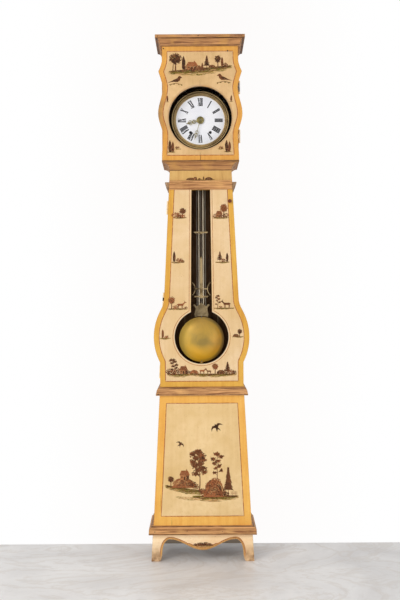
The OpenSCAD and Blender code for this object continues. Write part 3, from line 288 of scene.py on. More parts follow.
@dataclass(frozen=True)
class AgedPaint(Finish):
    """Old distemper paint on softwood: grain shows through, edges are rubbed to the wood.

    The wood is bare past the depth behind, in metres, or within inside, a half width at z = 0 and its
    slope. eye is the height, radius, ring width and ring colour of a round hole, whose inner wall is
    painted dark as the shade inside it; the last field holds the X, Z, reach and colour of a darker spot.
    """

    colour: str
    shade: str
    wood: str = "9A7048"
    grain: Grain = Grain.UPRIGHT
    wear: float = 0.55
    streaks: float = 0.3
    behind: float | None = None
    inside: Point | None = None
    worn_darker_feet: bool = False
    eye: tuple[float, float, float, str] | None = None
    blotch: tuple[float, float, float, str] | None = None

    def bare(self, bench: Bench) -> Any:
        """Returns 1 on the side of the board that never had paint."""
        if self.behind is not None:
            return bench.calc("GREATER_THAN", bench.axis("Y"), self.behind)
        if self.inside is None:
            return 0.0
        half, slope = self.inside
        limit = bench.calc("SUBTRACT", half, bench.times(bench.axis("Z"), slope))
        return bench.calc("LESS_THAN", bench.gap(bench.axis("X")), limit)

    def lay(self, bench: Bench) -> Material:
        """Lays paint, rubbed edges, chips and bare wood, darker spots and feet where set, and painted shade
        on a round hole's inner wall.
        """
        streak = bench.noise(1.0, 6.0, self.grain.value, 0.6, 0.6)
        cloud, speck = bench.noise(5.0, 3.0), bench.noise(260.0, 2.0)
        mottle = bench.noise(34.0, 5.0, rough=0.66)
        body = bench.coats(self.colour, (cloud, 0.35, 0.68, 1.0, self.shade),
                           (mottle, 0.46, 0.68, 0.5, self.shade))
        body = bench.mix(bench.span(streak, 0.42, 0.72, (0.0, self.streaks)), body, self.shade, "MULTIPLY")
        body = bench.coats(body, (speck, 0.64, 0.74, 0.45, self.wood))
        timber = bench.coats(self.wood, (streak, 0.3, 0.7, 1.0, "5E4029"))
        rub = bench.times(bench.worn_edge(0.0035), bench.span(bench.noise(38.0, 5.0), 0.36, 0.6))
        chip = bench.span(bench.noise(17.0, 7.0, rough=0.7), 0.70, 0.73, (0.0, 0.6))
        worn = bench.most(bench.times(rub, self.wear * 1.5), bench.times(chip, self.wear))
        if self.worn_darker_feet:
            height, ragged = bench.axis("Z"), bench.span(bench.noise(45.0, 5.0), 0.3, 0.62)
            # Browner towards the floor
            body = bench.coats(body, (height, 0.1, 0.03, 0.5, "BC8C5C"))
            worn = bench.most(worn, bench.times(bench.span(height, 0.075, 0.004), ragged))
        worn = bench.most(worn, self.bare(bench))
        colour = bench.mix(worn, body, timber)
        # A spot at a given place where the paint darkens towards a colour
        if self.blotch:
            x, z, reach, blotch_colour = self.blotch
            near = bench.span(bench.away(x, z, (1.0, 0.0, 0.32)), reach, 0.0)
            colour = bench.mix(bench.times(near, bench.span(mottle, 0.3, 0.6, (0.5, 1.0))), colour, blotch_colour)
        if self.eye:
            height, radius, width, chalk = self.eye
            off = bench.away(0.0, height)
            ring = bench.span(off, radius + width, radius + width * 0.85)
            colour = bench.mix(bench.times(ring, bench.span(mottle, 0.66, 0.4, (0.45, 1.0))), colour, chalk)
            # The hole's inner wall is painted near black, as the shade inside it
            wall = bench.mix(streak, "3A2A1C", "20160F")
            colour = bench.coats(colour, (off, radius + 0.0005, radius + 0.0002, 1.0, wall))
        relief = bench.calc("ADD", bench.times(streak, 0.6), bench.times(worn, -0.5))
        return bench.finish(Base_Color=colour, Roughness=bench.span(cloud, 0.2, 0.8, (0.62, 0.5)),
                            Specular_IOR_Level=0.3, Normal=bench.bump(relief, 0.35, 0.0006))


@dataclass(frozen=True)
class WornWood(Finish):
    """Softwood that has lost most of its paint, with grain, traces of colour, dark edges, and dark lines
    along its creases that are painted shade mixed with dirty patches.
    """

    wood: str
    dark: str
    trace: str
    grain: Grain = Grain.LEVEL
    traces: float = 0.35
    gloss: float = 0.62
    seams: tuple[float, ...] = ()

    def lay(self, bench: Bench) -> Material:
        """Lays grain, traces of paint, dark edges, and painted shade along the creases at their heights."""
        fibre = bench.noise(1.6, 8.0, self.grain.value, 1.2, 0.65)
        band, blotch = bench.noise(0.55, 3.0, self.grain.value, 2.0), bench.noise(14.0, 5.0)
        colour = bench.coats(self.wood, (fibre, 0.38, 0.62, 1.0, self.dark),
                             (band, 0.46, 0.6, 0.45, self.wood), (blotch, 0.50, 0.62, self.traces, self.trace),
                             (bench.worn_edge(0.003), 0.0, 1.0, 0.45, "4A3526"))
        # Dark lines along the creases: painted shade, mixed with dirty patches
        for height in self.seams:
            seam = bench.span(bench.gap(bench.axis("Z"), height), 0.0026, 0.0008)
            colour = bench.mix(bench.times(seam, bench.span(blotch, 0.36, 0.5, (0.35, 0.9))), colour, "3E2617")
        return bench.finish(Base_Color=colour, Roughness=self.gloss, Specular_IOR_Level=0.3,
                            Normal=bench.bump(fibre, 0.5, 0.0008))


@dataclass(frozen=True)
class Metal(Finish):
    """Aged metal: a bright ground under patina, with turning marks where it was turned.

    rings is the X and Z of the line it was turned about; dark rings round it are each listed as a radius and
    half width; and a painted shade darkens it from one height to the height where it is darkest.
    """

    bright: str
    patina: str
    rough: float = 0.32
    cover: Point = (0.4, 0.7)
    metallic: float = 1.0
    pitch: float = 9.0
    rings: Point | None = None
    dents: float = 0.0
    soot: Point | None = None
    seams: tuple[Point, ...] = ()

    def lay(self, bench: Bench) -> Material:
        """Lays patina, painted shade by height, dark rings and marks."""
        stain, fine = bench.noise(self.pitch, 5.0, distort=0.4), bench.noise(self.pitch * 22, 3.0)
        colour = bench.coats(self.bright, (stain, *self.cover, 1.0, self.patina),
                             (fine, 0.55, 0.75, 0.35, self.patina))
        # Painted shade: the metal darkens from one height towards the other
        if self.soot:
            colour = bench.coats(colour, (bench.axis("Z"), *self.soot, 0.5, "40351F"))
        height = bench.times(fine, 0.25)
        if self.rings:
            off = bench.away(*self.rings)
            for radius, half in self.seams:
                colour = bench.coats(colour, (bench.gap(off, radius), half, half * 0.4, 0.75, "3A2E1C"))
            height = bench.calc("ADD", height, bench.turning(off, 0.18))
        normal = bench.bump(height, 0.3, 0.0003)
        if self.dents:
            normal = bench.bump(bench.noise(11.0, 1.0), 0.6, self.dents, normal)
        rough = bench.span(stain, 0.25, 0.75, (self.rough, min(1.0, self.rough + 0.25)))
        return bench.finish(Base_Color=colour, Metallic=self.metallic, Roughness=rough, Normal=normal)


@dataclass(frozen=True)
class SpunBrass(Finish):
    """The bob's thin spun brass: olive in the middle, golden low, darker high, with a painted highlight at
    its left rim and painted shade at its right rim.
    """

    height: float = BOB_Z * MM
    radius: float = BOB_R * MM

    def lay(self, bench: Bench) -> Material:
        """Lays the colours by place on the bob, with turning marks and dents."""
        mid, r = self.height, self.radius
        off, stain = bench.away(0.0, mid), bench.noise(13.0, 5.0, distort=0.5)
        x, z = bench.axis("X"), bench.axis("Z")
        across = bench.calc("SUBTRACT", x, bench.calc("SUBTRACT", z, mid))
        core = bench.times(bench.span(off, r * 0.85, r * 0.25), bench.span(stain, 0.15, 0.5, (0.5, 1.0)))
        # bright is a painted highlight on the left of the rim, and shaded a painted shade on its right
        bright = bench.times(bench.span(off, r * 0.5, r * 0.9), bench.span(x, -0.02, -0.09, (0.0, 0.95)))
        shaded = bench.times(bench.span(off, r * 0.86, r * 0.95), bench.span(x, -0.05, 0.08, (0.0, 0.75)))
        colour = bench.coats(
            "F2BE42", (across, -0.01, 0.11, 0.9, "E8A444"), (stain, 0.42, 0.68, 0.5, "B09A50"),
            (core, 0.0, 1.0, 0.85, "8A763C"), (z, mid - r * 0.2, mid - r * 0.75, 0.8, "FFC026"),
            (z, mid + 0.01, mid + r * 0.8, 0.6, "8C6E38"), (bright, 0.0, 1.0, 1.0, "FFD462"),
            (shaded, 0.0, 1.0, 1.0, "5C5038"))
        fine = bench.bump(bench.calc("ADD", bench.turning(off, 0.2), bench.noise(260.0, 3.0)), 0.25, 0.0003)
        dents = bench.bump(bench.noise(10.0, 2.0), 0.5, 0.004, fine)
        return bench.finish(Base_Color=colour, Metallic=0.3, Normal=dents,
                            Roughness=bench.span(stain, 0.25, 0.75, (0.3, 0.48)))


@dataclass(frozen=True)
class TwoTone(Finish):
    """A finish of one or two tones, mixed and raised by one noise, with specks where given.

    noise holds the scale and detail, and the stretch where there is one; where holds the noise's values
    at which the second tone starts and is full; relief holds a strength and a distance.
    """

    tones: tuple[str, ...]
    noise: tuple[Any, ...]
    where: Point
    relief: Point
    surface: tuple[tuple[str, float], ...]
    specks: str = ""

    def lay(self, bench: Bench) -> Material:
        """Lays the tones, the specks and the relief."""
        cloud = bench.noise(*self.noise)
        colour: Any = linear(self.tones[0])
        if self.tones[1:]:
            colour = bench.coats(colour, (cloud, *self.where, 1.0, self.tones[1]))
        if self.specks:
            colour = bench.coats(colour, (bench.noise(420.0, 1.0), 0.74, 0.8, 0.5, self.specks))
        return bench.finish(Base_Color=colour, Normal=bench.bump(cloud, *self.relief), **dict(self.surface))


@dataclass(frozen=True)
class SceneryPaint(Finish):
    """Thin oil colour of the small scenes; each stroke's colour and cover are in the mesh."""

    def lay(self, bench: Bench) -> Material:
        """Lays the strokes' colours, thin where the brush ran dry."""
        stroke_colour = bench.add("Attribute", attribute_name="tint")
        dry, wash = bench.noise(420.0, 4.0, rough=0.7), bench.noise(90.0, 3.0)
        tint = bench.coats(stroke_colour.outputs["Color"], (wash, 0.42, 0.7, 0.22, "A8683E"))
        cover = bench.span(stroke_colour.outputs["Alpha"], 0.0, 1.0, (0.28, 0.72))
        reach = bench.calc("SUBTRACT", dry, cover)
        return bench.finish(Base_Color=bench.coats(tint, (reach, -0.03, 0.05, 0.85, "DDBB88")), Roughness=0.6,
                            Specular_IOR_Level=0.15, Normal=bench.bump(dry, 0.2, 0.0003))


@dataclass(frozen=True)
class RodPair(Finish):
    """The gridiron's bright inner and dull outer rods, told apart by their distance from the middle."""

    apart: float = 0.0097

    def lay(self, bench: Bench) -> Material:
        """Lays the two tones of metal."""
        inner = bench.calc("LESS_THAN", bench.gap(bench.gap(bench.axis("X")), self.apart), self.apart / 2)
        stain = bench.noise(30.0, 5.0, (1.0, 1.0, 0.2))
        dull = bench.coats("8E8677", (stain, 0.35, 0.7, 1.0, "5C5448"))
        bright = bench.coats("FFF4DC", (stain, 0.4, 0.75, 1.0, "CDBB92"))
        return bench.finish(Base_Color=bench.mix(inner, dull, bright), Metallic=0.25, Roughness=0.35,
                            Normal=bench.bump(stain, 0.15, 0.0003))


@dataclass(frozen=True)
class HingeIron(Finish):
    """Hinges painted over with the case, and rubbed back to dark iron between two heights in metres."""

    low: float
    high: float
    paint: str
    iron: str = "3A3028"

    def lay(self, bench: Bench) -> Material:
        """Lays paint and iron."""
        z = bench.axis("Z")
        inside = bench.times(bench.calc("GREATER_THAN", z, self.low), bench.calc("LESS_THAN", z, self.high))
        rub = bench.most(inside, bench.span(bench.noise(60.0, 5.0), 0.62, 0.7, (0.0, 0.6)))
        iron = bench.coats(self.iron, (bench.noise(90.0, 4.0), 0.4, 0.7, 1.0, "2A221C"))
        return bench.finish(Base_Color=bench.mix(rub, self.paint, iron), Roughness=0.6,
                            Normal=bench.bump(rub, 0.2, 0.0003))


def finishes() -> list[Finish]:
    """Lists every finish of the clock."""
    side = partial(AgedPaint, colour="DDA955", shade="C08E45", wear=0.8)
    window, edge = (BELLY_Z * MM, WINDOW_R * MM, 0.0028, "DCC8AA"), 0.0006
    matt = (("Roughness", 0.6), ("Specular_IOR_Level", 0.3))
    return [
        # The head's yellow and cream are darker, and the base's and apron's lighter, than the trunk's:
        # painted shade high up and painted light low down
        AgedPaint("yellow_paint", "D1AB69", "C59956"),
        AgedPaint("band_paint", "D6A462", "B98A50", streaks=0.5),
        # The head door's paint darkens in a spot at its left edge
        AgedPaint("head_door_yellow", "DDA44C", "CE9344", behind=HEAD_BACK_Y * MM - edge,
                  eye=(DIAL_Z * MM, DIAL_HOLE_R * MM, 0.009, "BE9F78"), blotch=(-0.19, 2.03, 0.05, "8E6E48")),
        AgedPaint("trunk_door_yellow", "DDAE4C", "D29D3E", behind=TRUNK_BACK_Y * MM - edge, eye=window),
        AgedPaint("base_front_yellow", "ECB95F", "E2A84D", behind=-0.0986),
        side("base_side_paint", inside=((base_half(0.0) - 5) * MM, BASE_SLOPE)),
        side("trunk_side_paint", inside=((trunk_half(0.0) - 5) * MM, TRUNK_SLOPE)),
        side("head_side_paint", inside=(0.167, 0.0)),
        AgedPaint("head_cream", "DCB886", "C29E68", wear=0.25, streaks=0.18),
        AgedPaint("trunk_cream", "E3C69C", "D6B582", wear=0.2, streaks=0.14, eye=window),
        AgedPaint("base_cream", "E7C996", "D6B47A", wear=0.2, streaks=0.14),
        # The apron's cream is lightest, painted light where the base moulding shades it
        AgedPaint("apron_paint", "FFEAC4", "F2D0A0", wear=0.9, grain=Grain.LEVEL, worn_darker_feet=True),
        TwoTone("red_line", ("96502C", "C98E52"), (90.0, 4.0), (0.46, 0.72), (0.15, 0.0002), matt),
        # The heights given to the mouldings, cove and crown carry painted shade along their creases
        WornWood("worn_moulding", "D6A068", "80522F", "DAA968", seams=(0.127, 0.159, 0.749, 0.777)),
        WornWood("worn_returns", "B89470", "7E5F44", "B4A48C", Grain.DEEP),
        WornWood("worn_crown", "C6905C", "704628", "CC984C", traces=0.4, seams=(2.315, 2.3445)),
        WornWood("worn_cove", "C08C56", "825634", "C0904C", traces=0.5, seams=(1.757, 1.796)),
        WornWood("inside_wood", "5A432E", "33251A", "4A3826", Grain.UPRIGHT, 0.3, 0.85),
        WornWood("back_wood", "8E6C4A", "5C432C", "7A6048", Grain.UPRIGHT, 0.5, 0.8),
        WornWood("open_crack", "2E2018", "1C130E", "2A1D14", Grain.UPRIGHT, 0.2, 0.95),
        WornWood("knob_wood", "7A3A20", "4A1E12", "6A3020", Grain.DEEP, 0.3, 0.3),
        # The bezel's top carries painted shadow from the edge of the door's hole
        Metal("bezel_brass", "FFDC98", "B4986A", 0.3, (0.3, 0.66), 0.7, rings=(0.0, DIAL_Z * MM),
              soot=(1.98, 2.12), seams=((0.1135, 0.0012), (0.1240, 0.0035), (0.1310, 0.0020))),
        SpunBrass("spun_brass"),
        Metal("arbor_iron", "2A2725", "181615", 0.55, metallic=0.3),
        Metal("wheel_brass", "C8A256", "8A6E36", 0.34),
        # The collar is darker low down as painted shade
        Metal("collar_brass", "D2B886", "8C7650", 0.42, (0.42, 0.62), 0.25, 40.0, soot=(1.18, 1.15)),
        Metal("hand_brass", "A89A62", "6A6440", 0.42, metallic=0.7, pitch=60.0),
        Metal("bell_bronze", "B89454", "7A6238", 0.3, rings=(0.0, 2.16)),
        Metal("aged_steel", "A8A49C", "6A645C", 0.38, pitch=20.0),
        Metal("forged_iron", "30251B", "1C140E", 0.7, metallic=0.2, pitch=24.0),
        Metal("cast_iron", "4A4643", "34302E", 0.66, metallic=0.4, pitch=35.0, dents=0.002),
        Metal("nail_iron", "3A302A", "241C18", 0.6, metallic=0.4, pitch=60.0),
        HingeIron("trunk_hinge_iron", 1.170, 1.185, "F4DCB0"),
        HingeIron("head_hinge_iron", 2.11, 2.15, "F0D4A8", "C0B8B0"),
        RodPair("gridiron_rods"),
        TwoTone("white_enamel", ("FBFCFF", "F2F4FA"), (12.0, 3.0), (0.3, 0.7), (0.15, 0.0004),
                (("Roughness", 0.22), ("Coat_Weight", 0.4), ("Coat_Roughness", 0.08)), "8C8C94"),
        TwoTone("dial_ink", ("08080E", "14161F"), (160.0, 3.0), (0.5, 0.8), (0.1, 0.0002),
                (("Roughness", 0.45), ("Specular_IOR_Level", 0.2))),
        TwoTone("old_glass", ("0E1211",), (7.0, 2.0), (0.0, 1.0), (0.1, 0.002),
                (("Roughness", 0.03), ("Alpha", 0.03), ("IOR", 1.45))),
        TwoTone("twisted_line", ("B7A27A", "6E5B3E"), (1.0, 5.0, (900.0, 900.0, 260.0)), (0.35, 0.7),
                (0.6, 0.0003), (("Roughness", 0.85), ("Sheen_Weight", 0.3))),
        SceneryPaint("scenery_paint"),
    ]


# ------------------------------------------------------------- drawing


def signed_area(points: Sequence[Point]) -> float:
    """Returns the area of an outline, above zero when it runs anticlockwise."""
    return 0.5 * sum(a[0] * b[1] - b[0] * a[1] for a, b in zip(points, [*points[1:], points[0]]))


def arc(centre: Point, radius: float, start: float, end: float, steps: int) -> list[Point]:
    """Returns points on an arc, with angles in degrees anticlockwise from +X."""
    angles = (math.radians(start + (end - start) * t) for t in shares(steps))
    return [(centre[0] + radius * math.cos(a), centre[1] + radius * math.sin(a)) for a in angles]


def turned(points: Iterable[Point], turn: float, centre: Point, size: float = 1.0) -> list[Point]:
    """Returns points turned by an angle in radians, anticlockwise, sized and moved to a centre."""
    c, s = math.cos(turn), math.sin(turn)
    return [(centre[0] + size * (u * c - v * s), centre[1] + size * (u * s + v * c)) for u, v in points]


def drawn(x: float, z: float, size: float, way: int, *spots: Point) -> list[Point]:
    """Returns the spots of a small drawing, sized and moved, and mirrored where way is -1."""
    return [(x + way * u * size, z + v * size) for u, v in spots]


def flip(points: Iterable[Point]) -> list[Point]:
    """Mirrors points left to right and turns their order."""
    return [(-x, z) for x, z in reversed(list(points))]


def stroke(path: Sequence[Point], widths: Sequence[float] | float, closed: bool = False) -> list[list[Point]]:
    """Turns a path into four-cornered pieces of the given width.

    Args:
        path: points along the middle.
        widths: one width, or one at each point.
        closed: whether the path ends where it starts.

    Returns:
        The pieces, each anticlockwise.
    """
    count = len(path)
    each = [widths] * count if isinstance(widths, (int, float)) else widths
    left, right = [], []
    for i, (x, z) in enumerate(path):
        before = path[(i - 1) % count] if closed or i else path[0]
        after = path[(i + 1) % count] if closed or i < count - 1 else path[-1]
        dx, dz = after[0] - before[0], after[1] - before[1]
        size = math.hypot(dx, dz) or 1.0
        nx, nz = -dz / size * each[i] / 2, dx / size * each[i] / 2
        left.append((x + nx, z + nz))
        right.append((x - nx, z - nz))
    last = count if closed else count - 1
    return [[right[i], right[(i + 1) % count], left[(i + 1) % count], left[i]] for i in range(last)]


def wavy(corners: Sequence[Point], step: float, sway: float, seed: int) -> list[Point]:
    """Divides straight sides and lets them sway as a hand-drawn line does."""
    chance = random.Random(seed)
    line = []
    for a, b in zip(corners, [*corners[1:], corners[0]]):
        count = max(1, round(math.hypot(b[0] - a[0], b[1] - a[1]) / step))
        for i in range(count):
            t = i / count
            off = chance.uniform(-sway, sway) if i else 0.0
            line.append((a[0] + (b[0] - a[0]) * t + off, a[1] + (b[1] - a[1]) * t + off))
    return line


class Relief:
    """Collects flat shapes in the plane of the front and raises each into a thin closed slab."""

    SUNK = 0.03

    def __init__(self, ground: float, rise: float = 0.12) -> None:
        """Starts empty, on ground at a depth in millimetres; the first shape stands proud by rise."""
        self.ground = ground
        self.rise = rise
        self.verts: list[Point3] = []
        self.faces: list[tuple[int, ...]] = []
        self.tints: list[Colour] = []

    def slab(self, corners: Sequence[Point], flats: Iterable[Sequence[int]], lift: float,
             tint: Colour) -> None:
        """Adds a closed slab from flat faces that share corners.

        Args:
            corners: points in X and Z.
            flats: faces by corner number.
            lift: how much further it stands proud.
            tint: colour of the shape.
        """
        start, count = len(self.verts), len(corners)
        for depth in (self.ground - self.rise - lift, self.ground + self.SUNK):
            self.verts += [(x * MM, depth * MM, z * MM) for x, z in corners]
        self.tints += [tint] * (2 * count)
        edges: dict[tuple[int, int], tuple[int, int]] = {}
        for flat in flats:
            loop = list(flat) if signed_area([corners[i] for i in flat]) > 0 else list(reversed(flat))
            self.faces.append(tuple(start + i for i in loop))
            self.faces.append(tuple(start + count + i for i in reversed(loop)))
            for a, b in zip(loop, [*loop[1:], loop[0]]):
                key = (min(a, b), max(a, b))
                if key in edges:
                    del edges[key]
                else:
                    edges[key] = (a, b)
        for a, b in edges.values():
            self.faces.append((start + b, start + a, start + count + a, start + count + b))

    def shape(self, outline: Sequence[Point], tint: Colour = (1, 1, 1, 1),
              holes: Sequence[Sequence[Point]] = (), lift: float = 0.0) -> None:
        """Adds a filled outline, with holes where given, on top of what lies there."""
        loops = [outline, *holes]
        corners = [point for loop in loops for point in loop]
        flats = tessellate_polygon([[Vector((x, z, 0)) for x, z in loop] for loop in loops])
        self.slab(corners, [f for f in flats if abs(signed_area([corners[i] for i in f])) > 1e-9], lift, tint)

    def band(self, path: Sequence[Point], widths: Sequence[float] | float, closed: bool = False,
             lift: float = 0.0) -> None:
        """Adds a painted line of the given width along a path."""
        pieces = stroke(path, widths, closed)
        corners = [p for piece in pieces for p in (piece[0], piece[3])]
        if not closed:
            corners += pieces[-1][1:3]
        total = len(corners)
        flats = [(2 * i, (2 * i + 2) % total, (2 * i + 3) % total, 2 * i + 1) for i in range(len(pieces))]
        self.slab(corners, flats, lift, (1, 1, 1, 1))

    def mesh(self, name: str) -> Mesh:
        """Makes the mesh of every shape."""
        mesh = bpy.data.meshes.new(name)
        mesh.from_pydata(self.verts, [], self.faces)
        return mesh

    def piece(self, name: str, material: Material, body: str, slot: str) -> None:
        """Makes the mesh with its tints and lets it ride on its body."""
        mesh = self.mesh(name)
        tint = mesh.attributes.new("tint", "FLOAT_COLOR", "POINT")
        tint.data.foreach_set("color", [value for colour in self.tints for value in colour])
        seat(name, mesh, material, body, slot)


def put(name: str, data: Any) -> bpy.types.Object:
    """Puts new data into the scene as an object."""
    thing = bpy.data.objects.new(name, data)
    bpy.context.scene.collection.objects.link(thing)
    return thing


def seat(name: str, mesh: Mesh, material: Material, body: str, slot: str, *replaces: str) -> None:
    """Links a mesh as a piece, gives it its finish and lets it ride.

    Args:
        name: the piece's name.
        mesh: its mesh, already in place.
        material: its finish.
        body: the CAD body that it rides on.
        slot: a material slot name; not used.
        replaces: CAD nodes that it stands for.
    """
    mesh.validate()
    mesh.update()
    if not mesh.materials:
        mesh.materials.append(material)
    piece = put(name, mesh)
    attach(piece, body)
    if replaces:
        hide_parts(*replaces)
    log.info("%s rides on %s with %d faces", name, body, len(mesh.polygons))


def soften(mesh: Mesh, limit: float = 32.0) -> Mesh:
    """Shades a mesh smooth, keeps edges sharper than the limit in degrees, and returns it."""
    mesh.shade_smooth()
    mesh.set_sharp_from_angle(angle=math.radians(limit))
    return mesh


def plain_mesh(name: str, shape: bmesh.types.BMesh) -> Mesh:
    """Turns a working shape into a mesh and frees it."""
    mesh = bpy.data.meshes.new(name)
    shape.to_mesh(mesh)
    shape.free()
    return mesh


def joined(name: str, *parts: Mesh) -> Mesh:
    """Joins meshes into one and removes the separate ones."""
    shape = bmesh.new()
    for part in parts:
        shape.from_mesh(part)
        bpy.data.meshes.remove(part)
    return plain_mesh(name, shape)


def turned_mesh(name: str, profile: Sequence[Point], centre: Point, steps: int,
                upright: bool = False) -> Mesh:
    """Turns a closed profile about a line.

    Args:
        name: the mesh's name.
        profile: radius and distance along the line, in order round the section; radius 0 ends it.
        centre: X and Z of a line along Y, or X and Y of an upright line.
        steps: faces round the turn.
        upright: whether the line stands upright.

    Returns:
        The mesh, smooth where its profile bends little.
    """
    shape, rings, point = bmesh.new(), [], 1e-6
    for radius, along in profile:
        ring = []
        for a in [0.0] if radius < point else round_angles(steps):
            u, v = centre[0] + radius * math.cos(a), centre[1] + radius * math.sin(a)
            ring.append(shape.verts.new([c * MM for c in ((u, v, along) if upright else (u, along, v))]))
        rings.append(ring)
    closed = profile[0][0] > point or profile[-1][0] > point
    for low, high in [*zip(rings, rings[1:]), *([(rings[-1], rings[0])] if closed else [])]:
        for i in range(steps):
            j = (i + 1) % steps
            corners = [low[i % len(low)], low[j % len(low)], high[j % len(high)], high[i % len(high)]]
            unique = list(dict.fromkeys(corners))
            if len(unique) > 2:
                shape.faces.new(unique)
    bmesh.ops.recalc_face_normals(shape, faces=shape.faces)
    return soften(plain_mesh(name, shape))


# ---------------------------------------------------- repeats by geometry nodes


class NodeTree(NodeSheet):
    """Lays out a geometry node tree with named inputs."""

    def __init__(self, name: str, **sizes: float) -> None:
        """Starts the tree; sizes are its named inputs with their values."""
        super().__init__(bpy.data.node_groups.new(name, "GeometryNodeTree"))
        self.values: dict[str, float] = {}
        face = self.tree.interface
        face.new_socket("Geometry", in_out="INPUT", socket_type="NodeSocketGeometry")
        for label, size in sizes.items():
            kind = "NodeSocketInt" if isinstance(size, int) else "NodeSocketFloat"
            self.values[face.new_socket(label, in_out="INPUT", socket_type=kind).identifier] = size
        face.new_socket("Geometry", in_out="OUTPUT", socket_type="NodeSocketGeometry")
        entry = self.add("NodeGroupInput")
        self.start = entry.outputs[0]
        self.named = {label: entry.outputs[label] for label in sizes}

    def one(self, kind: str, inputs: dict[Any, Any] | None = None, **settings: Any) -> Socket:
        """Adds one node and returns its first output."""
        return self.add(kind, inputs, **settings).outputs[0]

    def calc(self, kind: str, a: Any, b: Any = 0.0) -> Socket:
        """Returns one arithmetic operation."""
        return self.one("ShaderNodeMath", {0: a, 1: b}, operation=kind)

    def chance(self, low: Any, high: Any) -> Socket:
        """Returns a random value between two others, from the tree's seed."""
        inputs = {2: low, 3: high, "Seed": "Seed"}
        return self.add("FunctionNodeRandomValue", inputs, data_type="FLOAT").outputs[1]

    def run(self, source: Mesh, shape: Socket, material: Material, name: str) -> Mesh:
        """Ends the tree, runs it on a mesh and returns the plain result.

        Args:
            source: the mesh that the tree works on.
            shape: the geometry that it makes.
            material: the finish.
            name: the name of the result.

        Returns:
            The resulting mesh.
        """
        real = self.one("GeometryNodeRealizeInstances", {0: shape})
        self.add("NodeGroupOutput", {0: self.one("GeometryNodeSetMaterial", {0: real, "Material": material})})
        carrier = put(name + "_carrier", source)
        modifier = carrier.modifiers.new("build", "NODES")
        modifier.node_group = self.tree
        for identifier, value in self.values.items():
            modifier[identifier] = value
        bpy.context.view_layer.update()
        evaluated = carrier.evaluated_get(bpy.context.evaluated_depsgraph_get())
        mesh = bpy.data.meshes.new_from_object(evaluated)
        mesh.name = name
        carrier.modifiers.remove(modifier)
        bpy.data.objects.remove(carrier)
        return mesh


class Facing(Enum):
    """Way that a row of nail or screw heads faces."""

    FRONT = (math.pi / 2, 0.0, 0.0)
    BACK = (-math.pi / 2, 0.0, 0.0)
    RIGHT = (0.0, math.pi / 2, 0.0)


@dataclass(frozen=True)
class Heads:
    """Nail or screw heads set at points, each turned and sized a little differently."""

    radius: float = 2.4
    dome: float = 0.7
    slotted: bool = False
    seed: int = 5

    def set_at(self, name: str, points: Sequence[Point3], facing: Facing, material: Material) -> Mesh:
        """Builds the heads.

        Args:
            name: name of the mesh.
            points: places in millimetres.
            facing: way that the heads look.
            material: finish of the heads.

        Returns:
            One mesh with every head.
        """
        head = put(name + "_head", self.head_mesh(name + "_head"))
        seats = bpy.data.meshes.new(name + "_seats")
        seats.from_pydata([[c * MM for c in p] for p in points], [], [])
        tree = NodeTree(name + "_rows", Size=1.0, Vary=0.18, Seed=self.seed)
        form = tree.add("GeometryNodeObjectInfo", {"Object": head}).outputs["Geometry"]
        spin = tree.one("ShaderNodeCombineXYZ", {"Z": tree.chance(0.0, 2 * math.pi)})
        scale = tree.chance(tree.calc("SUBTRACT", "Size", "Vary"), tree.calc("ADD", "Size", "Vary"))
        rows = tree.one("GeometryNodeInstanceOnPoints", {"Points": tree.start, "Instance": form,
                                                         "Rotation": facing.value, "Scale": scale})
        rows = tree.one("GeometryNodeRotateInstances", {"Instances": rows, "Rotation": spin,
                                                        "Local Space": True})
        mesh = tree.run(seats, rows, material, name)
        bpy.data.objects.remove(head)
        return soften(mesh, 40.0)

    def head_mesh(self, name: str) -> Mesh:
        """Draws one head, facing +Z, with its underside sunk a little."""
        r, h, sunk = self.radius, self.dome, -0.4
        profile = [(0.0, h), (r * 0.55, h * 0.85), (r * 0.9, h * 0.4), (r, 0.0), (r * 0.9, sunk), (0.0, sunk)]
        if not self.slotted:
            return turned_mesh(name, profile, (0.0, 0.0), 14, upright=True)
        profile = [(0.0, h), (r * 0.8, h), (r, h * 0.6), (r, sunk), (0.0, sunk)]
        mesh = turned_mesh(name, profile, (0.0, 0.0), 14, upright=True)
        shape = bmesh.new()
        shape.from_mesh(mesh)
        for side in (-1, 1):
            bmesh.ops.bisect_plane(shape, geom=[*shape.verts, *shape.edges, *shape.faces],
                                   plane_co=(0, side * 0.35 * MM, 0), plane_no=(0, 1, 0))
        for face in shape.faces:
            middle = face.calc_center_median()
            if abs(middle.y) < 0.3 * MM and middle.z > h * 0.9 * MM:
                for vert in face.verts:
                    vert.co.z = h * 0.35 * MM
        shape.to_mesh(mesh)
        shape.free()
        return mesh


